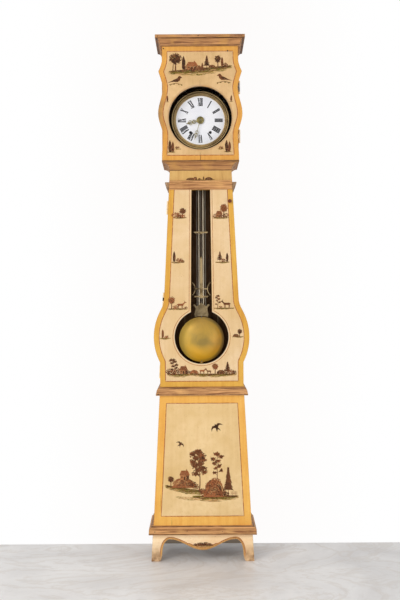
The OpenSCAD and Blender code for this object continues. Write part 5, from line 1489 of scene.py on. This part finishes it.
@dataclass
class TrunkDoor(Section):
    """The bellied trunk door with its window, painted field and small scenes."""

    margin: float = 24.0
    low_line_z: float = 808.0
    line: float = 3.2
    window_line: float = 2.2
    window_rim: float = 8.0
    body: ClassVar[str] = "trunk_door"
    dressed: ClassVar[dict[str, str]] = {
        "trunk_door_yellow": "trunk_door_board", "worn_moulding": "neck_moulding",
        "aged_steel": "latch_tongue", "trunk_hinge_iron": "trunk_hinge_door trunk_hinge_case",
        "knob_wood": "trunk_knob"}

    def pieces(self) -> None:
        """Draws the door's field, its red lines and the pairs of small scenes."""
        right = inside_margin(trunk_door_edge(), self.margin, self.low_line_z, NECK_Z)
        self.field(TRUNK_FACE_Y, "trunk_cream", [*right, *self.window(0.4), *flip(right)])
        low = [(x, self.low_line_z) for x in (-100.0, 0.0, 100.0)]
        self.lines("trunk_red_line", Relief(TRUNK_FACE_Y, 0.2), "red_line", "yellow_paint",
                   ([*flip(right), *low, *right], self.line),
                   (self.window(self.window_rim), self.window_line))
        self.scene("trunk_scenes_upper", TRUNK_FACE_Y, 21, (TURF, -124, -64, 1545, 8),
                   (BUSH, -112, 1544, 34, RUST), (BUSH, -98, 1544, 28, BROWN),
                   (ROUND_TREE, -82, 1543, 44, 32, BROWN), (BUSH, -82, 1544, 22, RUST),
                   (TURF, 54, 126, 1544, 9), (BUSH, 66, 1545, 22, BROWN), (COTTAGE, 82, 1545, 26, 28),
                   (ROUND_TREE, 103, 1545, 60, 36, RUST), (BUSH, 110, 1545, 26, BROWN))
        self.scene("trunk_scenes_middle", TRUNK_FACE_Y, 22, (TURF, -134, -76, 1344, 7),
                   (CYPRESS, -121, 1344, 50), (BUSH, -98, 1344, 28, RUST), (BUSH, -84, 1343, 16, BROWN),
                   (TURF, 64, 130, 1344, 7), (FIR, 84, 1344, 48, 32), (BUSH, 101, 1344, 20),
                   (CYPRESS, 117, 1344, 42))
        self.scene("trunk_scenes_lower", TRUNK_FACE_Y, 23, (TURF, -152, -62, 1135, 8),
                   (ROUND_TREE, -134, 1135, 54, 32, RUST), (BUSH, -118, 1135, 22, RUST),
                   (BEAST, -94, 1135, 34, 1), (BUSH, -70, 1134, 14, DARK), (TURF, 56, 148, 1137, 8),
                   (LEAFY_TREE, 72, 1137, 60, 30, 3.0, BROWN, 6, 0.3), (BUSH, 86, 1137, 14, RUST),
                   (BEAST, 114, 1137, 36, -1, BROWN))
        self.scene("trunk_scenes_belly", TRUNK_FACE_Y, 24, (TURF, -188, -138, 1003, 7),
                   (CYPRESS, -175, 1003, 40, BROWN), (BUSH, -158, 1003, 18, RUST),
                   (TURF, 138, 188, 1008, 7), (MOUND, 154, 1008, 28, 12, BROWN),
                   (ROUND_TREE, 171, 1008, 34, 22, DARK))
        self.scene("trunk_scenes_foot", TRUNK_FACE_Y, 25, (TURF, -156, -36, 842, 15, 0.0, 1.4),
                   (TURF, -60, 156, 841, 15, 0.0, 1.4),
                   (LEAFY_TREE, -126, 842, 68, 42, 2.0, DARK, 7, 0.3), (BUSH, -142, 841, 36, DARK),
                   (BUSH, -114, 841, 40, BROWN), (COTTAGE, -82, 842, 32, 34),
                   (BUSH, -62, 841, 24, DARK), (MOUND, -34, 842, 40, 17, RUST), (BEAST, 2, 842, 26, 1),
                   (BEAST, 32, 842, 22, -1, BROWN), (ROUND_TREE, 60, 842, 46, 30, RUST),
                   (MOUND, 84, 842, 34, 16, BROWN), (BUSH, 101, 841, 30, DARK), (FIR, 116, 842, 54, 34),
                   (BUSH, 131, 841, 30, BROWN), (BUSH, 146, 841, 20, DARK))

    def window(self, grow: float) -> list[Point]:
        """Returns the window's outline from its top right down and round to its top left."""
        def slot(z: float) -> float:
            """Half width of the slot at a height."""
            return SLOT_LOW + (SLOT_TOP - SLOT_LOW) * (z - BELLY_Z) / (NECK_Z - BELLY_Z) + grow

        r, z = WINDOW_R + grow, BELLY_Z
        for _ in range(30):
            z = BELLY_Z + math.sqrt(r * r - slot(z) ** 2)
        angle = math.degrees(math.atan2(z - BELLY_Z, slot(z)))
        ring = arc((0, BELLY_Z), r, angle, -180 - angle, 64)
        return [(slot(NECK_Z), NECK_Z), *ring, (-slot(NECK_Z), NECK_Z)]


@dataclass
class HeadDoor(Section):
    """The shaped head door with its glass and painted field."""

    margin: float = 22.0
    low_line_z: float = 1822.0
    top_line_z: float = 2288.0
    line: float = 3.2
    hole_margin: float = 7.0
    body: ClassVar[str] = "head_door"
    dressed: ClassVar[dict[str, str]] = {
        "head_door_yellow": "head_door_board", "old_glass": "dial_glass",
        "head_hinge_iron": "head_hinge_door head_hinge_case"}

    def pieces(self) -> None:
        """Draws the field with the hole in it, the red line, the cracks, the scenes and the screws."""
        right = inside_margin(head_door_edge(), self.margin, self.low_line_z, self.top_line_z)
        hole = arc((0, DIAL_Z), DIAL_HOLE_R + self.hole_margin, 0, 357, 119)
        self.field(HEAD_FACE_Y, "head_cream", [*right, *flip(right)], [hole[::-1]])
        top, low = ([(side * x, z) for x in (80.0, 0.0, -80.0)]
                    for side, z in ((1, self.top_line_z), (-1, self.low_line_z)))
        self.lines("head_red_line", Relief(HEAD_FACE_Y, 0.2), "red_line", "yellow_paint",
                   ([*right, *top, *flip(right), *low], self.line), closed=True)
        self.lines("head_door_cracks", Relief(HEAD_FACE_Y, 0.3), "open_crack", "inside_wood",
                   ([(-1, 1801), (0, 1812), (-1.4, 1824), (-0.6, 1836)], [1.8, 1.4, 1.0, 0.3]),
                   ([(-1, 2136), (-1.6, 2150), (-0.8, 2162)], [0.9, 0.6, 0.2]))
        self.scene("head_top_scene", HEAD_FACE_Y, 41, (TURF, -142, 142, 2211, 30, 0.09, 2.0),
                   (ROUND_TREE, -110, 2200, 80, 58, DARK),
                   (LIMB, [(-122, 2200), (-120, 2230)], 4, 3, BROWN), (CYPRESS, -74, 2204, 64),
                   (BUSH, -60, 2205, 26, DARK), (COTTAGE, -36, 2206, 46, 34),
                   (BUSH, -34, 2199, 26, DARK), (MOUND, -6, 2204, 34, 20, BROWN),
                   (BUSH, 14, 2202, 20, DARK), (CYPRESS, 10, 2209, 28, BROWN), (FIR, 30, 2212, 58, 34),
                   (MOUND, 54, 2214, 32, 13, BROWN), (ROUND_TREE, 80, 2216, 54, 30, DARK),
                   (CYPRESS, 99, 2218, 44, BROWN),
                   (BUSH, 113, 2220, 22, DARK))
        self.scene("head_small_scenes", HEAD_FACE_Y, 42, (PERCHED_BIRD, -106, 2146, 52, 1),
                   (PERCHED_BIRD, 102, 2154, 54, -1), *self.corner_trees(-1), *self.corner_trees(1))
        self.screws()

    @staticmethod
    def corner_trees(side: int) -> list[tuple[Any, ...]]:
        """Lists the small trees on one side of the dial, from the top down."""
        high, middle, low = side * 143, side * 127 - 4, side * 97
        return [(CYPRESS, high - 4, 2062, 29, BROWN), (TURF, high - 12, high + 4, 2062, 3),
                (TURF, middle - 18, middle + 18, 1838, 6), (CYPRESS, middle - 6, 1837, 54),
                (CYPRESS, middle + 7, 1837, 48, BROWN), (BUSH, middle, 1838, 20, DARK),
                (TURF, low - 20, low + 10, 1851, 4), (BUSH, low - 6, 1851, 18, BROWN)]

    def screws(self) -> None:
        """Sets the hinge screws and two small nails in the head door's upper corners."""
        screws, heights = Heads(2.0, 0.3, True, 9), [z + dz for z in HINGE_ZS for dz in (-20, 0, 20)]
        behind = [(x, HEAD_BACK_Y - 0.1, z) for z in heights for x in (164, 152)]
        corner = [(x, HEAD_FACE_Y - 0.1, z) for x, z in ((124, 2289), (-164, 2301))]
        beside = [(173.4, HEAD_BACK_Y + y, z) for z in heights for y in (11, 21)]
        self.drive("head_hinge_screws", screws, behind, Facing.BACK, "forged_iron", "head_door")
        self.drive("head_door_nail", Heads(3.0, 0.5, seed=3), corner, Facing.FRONT, "nail_iron", "head_door")
        self.drive("case_hinge_screws", screws, beside, Facing.RIGHT, "forged_iron", "case")


@dataclass(frozen=True)
class Hand:
    """One pierced hand of the dial, drawn pointing up from its arbor.

    The stem is rows of height and width. Each scroll is a start, an end, a bulge and a width on the
    right side, and has a twin on the left. The boss is rows of radius and depth from the hand's face.
    """

    node: str
    y: float
    angle: float
    stem: tuple[tuple[float, float], ...]
    scrolls: tuple[tuple[float, ...], ...]
    tip: tuple[Point, ...]
    bead: tuple[Point, ...]
    boss: tuple[Point, ...]
    half: float = 1.17

    @staticmethod
    def scroll(start: Point, end: Point, bulge: float) -> list[Point]:
        """Returns a bowed line from start to end."""
        dx, dv = end[0] - start[0], end[1] - start[1]
        line, size = [], math.hypot(dx, dv)
        for t in shares(14):
            off = bulge * math.sin(math.pi * t) * (1 - 0.35 * math.cos(math.pi * t)) / size
            line.append((start[0] + dx * t - dv * off, start[1] + dv * t + dx * off))
        return line

    def make(self, brass: Material) -> None:
        """Makes the hand and its turned boss as one piece."""
        turn, name = math.radians(-self.angle), self.node + "_pierced"
        flat = Relief(self.y + self.half, self.half)
        for n, outline in enumerate((self.tip, self.bead)):
            flat.shape(turned(outline, turn, (0.0, DIAL_Z)), lift=-0.01 * n)
        stem, widths = [(0.0, v) for v, _ in self.stem], [w for _, w in self.stem]
        bands: list[tuple[Sequence[Point], Any]] = [(stem, widths)]
        bands += [(self.scroll((side * x0, z0), (side * x1, z1), side * bulge), width)
                  for side in (-1, 1) for x0, z0, x1, z1, bulge, width in self.scrolls]
        for n, (path, width) in enumerate(bands):
            flat.band(turned(path, turn, (0.0, DIAL_Z)), width, lift=-0.12 - 0.01 * n)
        boss = turned_mesh(name + "_boss", [(r, self.y + off) for r, off in self.boss], (0.0, DIAL_Z), 64)
        mesh = soften(joined(name, flat.mesh(name + "_flat"), boss), 28.0)
        seat(name, mesh, brass, self.node, "hand_brass", self.node)


HOUR_HAND = Hand(
    "hour_hand", -68.0, 256.0, ((12, 3.6), (30, 2.2), (58, 1.8)),
    ((0.5, 17, 0.5, 38, -7.5, 2.0), (0.5, 34, 0.5, 56, -9.0, 2.2), (8.0, 42, 3.0, 52, 2.6, 1.5),
     (4.8, 24, 8.6, 34, 1.6, 1.5)),
    ((-4.2, 55), (0, 51), (4.2, 55), (2.2, 59), (0, 68), (-2.2, 59)), ((0, 32), (3, 35), (0, 38.5), (-3, 35)),
    ((5.05, 1.15), (16.6, 1.15), (17, 0.6), (17, -0.3), (15.6, -0.9), (14.4, -0.5), (13.2, -0.9),
     (12.2, -1.6), (10.8, -1.9), (9.6, -1.5), (8.4, -1.9), (7.6, -2.7), (6.4, -2.95), (5.05, -2.9)))
MINUTE_HAND = Hand(
    "minute_hand", -75.0, 196.5, ((5, 3.0), (30, 2.2), (56, 1.8), (84, 1.6)),
    ((0.4, 50, 0.4, 66, -6.0, 1.8), (0.4, 62, 0.4, 80, -7.0, 1.9), (6.4, 68, 2.4, 77, 2.0, 1.3),
     (0, 40, 4.6, 53, 2.0, 1.3)),
    ((-3.2, 82), (0, 79), (3.2, 82), (1.4, 86), (0, 96), (-1.4, 86)),
    ((0, 59.5), (2.4, 62), (0, 65), (-2.4, 62)),
    ((2.55, 1.15), (6.6, 1.15), (7, 0.7), (7, -0.2), (5.6, -0.5), (5.4, -1.6), (4.2, -2.5), (2.55, -2.8)))


@dataclass
class Dial(Section):
    """The enamel dial, its numerals and its hands."""

    outer_r: float = 101.0
    inner_r: float = 66.0
    bezel_r: float = 131.5
    sight_r: float = 110.5
    bezel_h: float = 12.0
    thick: float = 4.7
    thin: float = 1.9
    serif: float = 1.5
    numerals: tuple[str, ...] = ("XII", "I", "II", "III", "IIII", "V", "VI", "VII", "VIII", "IX", "X", "XI")
    dressed: ClassVar[dict[str, str]] = {"white_enamel": "dial"}

    def pieces(self) -> None:
        """Turns the bezel, prints the hours and makes the hands."""
        self.bezel()
        ink = Relief(DIAL_FACE_Y, 0.08)
        for k, numeral in enumerate(self.numerals):
            self.numeral(ink, numeral, math.radians(-30.0 * k))
        ink.piece("dial_numerals", self.paints["dial_ink"], "case", "enamel")
        for hand in (HOUR_HAND, MINUTE_HAND):
            hand.make(self.paints["hand_brass"])

    def bezel(self) -> None:
        """Turns the stepped bezel with its hollows and bright inner bead."""
        r, i, y = self.bezel_r, self.sight_r, DIAL_FACE_Y
        top = y - self.bezel_h
        profile = [(i, y), (i, y - 2.4), (i + 0.5, y - 3.4), (i + 3.0, y - 4.6)]
        profile += [(i + 5.8 - 2.6 * math.cos(a), y - 5.2 - 3.4 * math.sin(a)) for a in
                    (math.radians(20 + 28 * k) for k in range(6))]
        profile += [(i + 9.2 + 4.2 * t, y - 5.4 - 3.6 * t * t) for t in shares(6)]
        profile += [(i + 14.2, top + 1.2)]
        profile += [(r - 3.2 - 3.0 * math.cos(a), top + 2.2 - 2.2 * math.sin(a)) for a in
                    (math.radians(10 + 20 * k) for k in range(5))]
        profile += [(r - 1.2, top + 0.3), (r - 0.2, top + 1.4), (r, top + 2.6), (r, y + 2.5),
                    (r - 1.4, y + 2.5), (r - 1.5, top + 4.0), (r - 7.0, top + 5.0), (120.0, y)]
        mesh = turned_mesh("bezel_rings", profile, (0.0, DIAL_Z), 144)
        seat("bezel_rings", mesh, self.paints["bezel_brass"], "case", "bezel_brass", "bezel")

    def numeral(self, ink: Relief, numeral: str, turn: float) -> None:
        """Prints one numeral as strokes that stand on the inner circle.

        Args:
            ink: the relief that takes the strokes.
            numeral: letters I, V and X.
            turn: angle from twelve, anticlockwise, in radians.
        """
        advance = {"I": 5.6, "V": 11.6, "X": 11.6}
        left, low, high = -sum(advance[c] for c in numeral) / 2, self.inner_r, self.outer_r
        bars: list[tuple[float, float, float, float, float]] = []
        for letter in numeral:
            w = advance[letter]
            mid, reach = left + w / 2, w / 2 - 1.0
            if letter == "I":
                bars.append((mid, low, mid, high, self.thick))
            else:
                cross = letter == "X"
                bars.append((mid - reach + 0.6, high, mid + (reach - 0.6) * cross, low, self.thick))
                bars.append((mid + reach, high, mid - reach * cross, low, self.thin))
            bars += [(mid - w / 2 + 0.3, end, mid + w / 2 - 0.3, end, self.serif)
                     for end in (low, high) if letter != "V" or end == high]
            left += w
        for n, (x0, v0, x1, v1, width) in enumerate(bars):
            # An upright bar is widened sideways, and a serif up and down
            dx, dv = (width / 2, 0.0) if abs(v1 - v0) > abs(x1 - x0) else (0.0, -width / 2)
            quad = [(x0 - dx, v0 - dv), (x0 + dx, v0 + dv), (x1 + dx, v1 + dv), (x1 - dx, v1 - dv)]
            ink.shape(turned(quad, turn, (0.0, DIAL_Z)), lift=n * 0.006)


@dataclass
class Movement(Section):
    """The iron cage with its trains, bell and hammer."""

    dressed: ClassVar[dict[str, str]] = {
        "forged_iron": "movement_cage train_bars bell_stand",
        "aged_steel": "hammer suspension_cock anchor suspension_spring cannon_pinion",
        "arbor_iron": "going_drum strike_drum",
        "wheel_brass": "going_great_wheel going_second_wheel going_third_wheel escape_wheel "
                       "strike_great_wheel strike_pin_wheel strike_third_wheel fly motion_wheel hour_wheel",
        "bell_bronze": "bell"}


@dataclass
class Pendulum(Section):
    """The gridiron pendulum with its lens-shaped bob."""

    rim: float = 1.1
    nut_r: float = 9.0
    dressed: ClassVar[dict[str, str]] = {
        "gridiron_rods": "pendulum_rods", "collar_brass": "pendulum_crossbars"}

    def pieces(self) -> None:
        """Spins the bob and turns its nut."""
        self.bob()
        self.nut()

    def bob(self) -> None:
        """Spins the two shells of the bob with the seam between them."""
        sphere = (BOB_R**2 + BOB_HALF_T**2) / (2 * BOB_HALF_T)
        radii = [BOB_R * t for t in shares(22) if BOB_R * t < BOB_R - 3]
        edge = [(r, SWING_Y - (math.sqrt(sphere**2 - r * r) - (sphere - BOB_HALF_T))) for r in radii]
        edge += [(BOB_R - 1.6, SWING_Y - self.rim), (BOB_R - 0.5, SWING_Y - self.rim * 0.7)]
        profile = [*edge, (BOB_R - 0.1, SWING_Y), *((r, 2 * SWING_Y - y) for r, y in reversed(edge))]
        mesh = turned_mesh("pendulum_bob_shell", profile, (0.0, BOB_Z), 160)
        seat("pendulum_bob_shell", mesh, self.paints["spun_brass"], "bob", "bob_brass", "pendulum_bob")

    def nut(self) -> None:
        """Turns the knurled rating nut."""
        r, low, high = self.nut_r, BOB_Z - BOB_R - 13.0, BOB_Z - BOB_R - 1.0
        profile = [(2.45, low), (r - 2, low), (r - 0.6, low + 1.2), (r, low + 2.2), (r, high - 2.2),
                   (r - 0.6, high - 1.2), (r - 2, high), (2.45, high)]
        mesh = turned_mesh("rating_nut_knurled", profile, (0.0, SWING_Y), 72, upright=True)
        for vert in mesh.vertices:
            x, y = vert.co.x, vert.co.y - SWING_Y * MM
            if math.hypot(x, y) > (r - 0.3) * MM and math.cos(24 * math.atan2(y, x)) < 0:
                vert.co.x, vert.co.y = x * 0.95, SWING_Y * MM + y * 0.95
        seat("rating_nut_knurled", mesh, self.paints["wheel_brass"], "rating_nut", "wheel_brass",
             "rating_nut")


@dataclass
class Weights(Section):
    """The two cast weights and the lines that they hang on."""

    low_z: float = 300.0
    height: float = 160.0
    radius: float = 38.0
    ring_r: float = 4.6
    wire_r: float = 1.4

    def pieces(self) -> None:
        """Casts the weights and lays the lines."""
        for side, weight in ((1, "going"), (-1, "strike")):
            self.weight(weight, side * LINE_X)
            self.line(weight, side * LINE_X)

    def weight(self, name: str, x: float) -> None:
        """Casts one weight with its seam, shoulder and eye."""
        low, high, r = self.low_z, self.low_z + self.height, self.radius
        profile = [(0.0, low), (r - 5, low), (r - 1.4, low + 1.6), (r, low + 5), (r - 0.4, low + 78),
                   (r, low + 79.4), (r, low + 80.6), (r - 0.4, low + 82), (r, high - 5),
                   (r - 1.4, high - 1.6), (r - 5, high), (9, high), (7, high + 1.6), (3, high + 3),
                   (3, high + 21), (0.0, high + 21)]
        body = turned_mesh(name + "_body", profile, (x, LINE_Y), 64, upright=True)
        wire = [(self.ring_r + self.wire_r * math.cos(b), LINE_Y + self.wire_r * math.sin(b))
                for b in round_angles(10)]
        eye = turned_mesh(name + "_eye", wire, (x, high + 25.8), 28)
        mesh = soften(joined(name + "_weight_cast", body, eye))
        seat(name + "_weight_cast", mesh, self.paints["cast_iron"], name + "_weight", "weight_iron",
             name + "_weight")

    def line(self, name: str, x: float) -> None:
        """Lays one line from its drum to its weight."""
        mesh = Rope().hang(name + "_line_laid", (x, LINE_Y, LINE_TOP_Z - 0.2), LINE_LOW_Z + 0.2,
                           self.paints["twisted_line"])
        rope = put(name + "_line_laid", mesh)
        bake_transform(rope)
        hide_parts(name + "_line")
        log.info("%s blends from case to %s with %d faces", rope.name, name + "_weight", len(mesh.polygons))


# --------------------------------------------------------------- studio


@dataclass
class Studio:
    """Floor, backdrop, lights and camera."""

    wall_y: float = 0.185
    reach: float = 7.0
    eye: Point3 = (-0.0063, -4.22, 1.173)
    lens: float = 54.84
    roll: float = 0.338

    def build(self) -> None:
        """Builds the studio."""
        far, y = self.reach, self.wall_y
        self.plane("floor", [(-far, -far, 0), (far, -far, 0), (far, far, 0), (-far, far, 0)], self.stone())
        self.plane("wall", [(-far, y, 0), (far, y, 0), (far, y, 6), (-far, y, 6)], self.white())
        self.world()
        self.lights()
        self.camera()

    def plane(self, name: str, corners: Sequence[Point3], material: Material) -> None:
        """Adds one flat piece of the stage."""
        mesh = bpy.data.meshes.new(name)
        mesh.from_pydata(corners, [], [(0, 1, 2, 3)])
        mesh.materials.append(material)
        stage = put(name, mesh)

    def stone(self) -> Material:
        """Makes the floor's pale honed stone."""
        bench = Bench(bpy.data.materials.new("pale_stone"))
        vein = bench.gap(bench.noise(1.6, 8.0, (1.0, 1.5, 1.0), 2.4, 0.62), 0.5)
        colour = bench.coats("ECEBE9", (bench.noise(2.2, 6.0, distort=1.2), 0.34, 0.68, 1.0, "D8D6D4"),
                             (vein, 0.045, 0.0, 0.35, "C8BEB2"),
                             (bench.noise(22.0, 4.0), 0.55, 0.75, 0.3, "C6C3C0"))
        return bench.finish(Base_Color=colour, Roughness=0.42, Specular_IOR_Level=0.35)

    def white(self) -> Material:
        """Makes a white wall that only the camera and reflections see, and only from the front, with a
        painted shadow behind the clock's foot.
        """
        bench = Bench(bpy.data.materials.new("white_wall"))
        rays = bench.add("LightPath").outputs
        seen = bench.most(rays["Is Camera Ray"], rays["Is Glossy Ray"])
        seen = bench.most(seen, rays["Is Transmission Ray"])
        front = bench.calc("SUBTRACT", 1.0, bench.add("NewGeometry").outputs["Backfacing"])
        across, z = bench.gap(bench.axis("X")), bench.axis("Z")
        # A painted shadow on the wall behind the clock's foot, darkest at the floor
        behind = bench.times(bench.span(across, 0.235, 0.2), bench.span(z, 0.13, 0.11))
        shade = bench.coats("645A4E", (z, 0.0, 0.08, 1.0, "7C6E62"))
        pale = bench.mix(behind, bench.coats("FDFBFA", (across, 0.15, 0.8, 1.0, "FFFFFF")), shade)
        glow = bench.add("Emission", {"Color": pale, "Strength": 1.0}).outputs[0]
        clear = bench.add("BsdfTransparent").outputs[0]
        both = bench.add("MixShader", {0: bench.times(seen, front), 1: clear, 2: glow}).outputs[0]
        bench.add("OutputMaterial", {"Surface": both})
        return bench.owner

    def world(self) -> None:
        """Sets an even pale sky, white to the camera and through glass."""
        world = bpy.data.worlds.new("studio")
        bpy.context.scene.world = world
        bench = Bench(world)
        rays = bench.add("LightPath").outputs
        soft, white = (bench.add("Background", {0: linear(colour), 1: power}).outputs[0]
                       for colour, power in (("F6F7FA", 0.7), ("FFFFFF", 1.0)))
        seen = bench.most(rays["Is Camera Ray"], rays["Is Transmission Ray"])
        bench.add("OutputWorld", {0: bench.add("MixShader", {0: seen, 1: soft, 2: white}).outputs[0]})

    def lights(self) -> None:
        """Hangs soft boxes in front, above and to the left."""
        for name, where, aim_z, size, power, colour in (
            ("key_light", (-2.4, -3.4, 2.7), 1.2, (1.6, 1.6), 68.0, "FFF8EF"),
            ("fill_light", (2.7, -3.0, 1.2), 0.9, (1.6, 2.0), 26.0, "F8F9FF"),
            ("low_light", (-0.9, -3.6, 0.9), 0.6, (1.6, 0.6), 20.0, "FFFFFF"),
        ):
            lamp = bpy.data.lights.new(name, "AREA")
            lamp.shape = "RECTANGLE"
            lamp.size, lamp.size_y = size
            lamp.energy = power
            lamp.color = linear(colour)[:3]
            light = put(name, lamp)
            light.visible_glossy = name != "low_light"
            light.location = where
            aim = Vector((0.0, 0.0, aim_z)) - Vector(where)
            light.rotation_euler = aim.to_track_quat("-Z", "Y").to_euler()

    def camera(self) -> None:
        """Places the camera at the photograph's height, distance and slight roll."""
        data = bpy.data.cameras.new("photo_camera")
        data.sensor_fit = "VERTICAL"
        data.sensor_height = 36.0
        data.lens = self.lens
        camera = put("photo_camera", data)
        level, roll = Matrix.Rotation(math.pi / 2, 4, "X"), Matrix.Rotation(math.radians(-self.roll), 4, "Z")
        camera.matrix_world = Matrix.Translation(self.eye) @ level @ roll
        bpy.context.scene.camera = camera
        bpy.context.scene.view_settings.view_transform = "Standard"


def main() -> None:
    """Builds the studio and dresses the clock, from the floor up."""
    logging.basicConfig(level=logging.INFO, format="%(name)s: %(message)s")
    Studio().build()
    paints = {finish.name: finish.make() for finish in finishes()}
    for part in (Base, Case, TrunkDoor, HeadDoor, Dial, Movement, Pendulum, Weights):
        part(paints).build()
        log.info("%s is done", part.__name__)


if __name__ == "__main__":
    main()
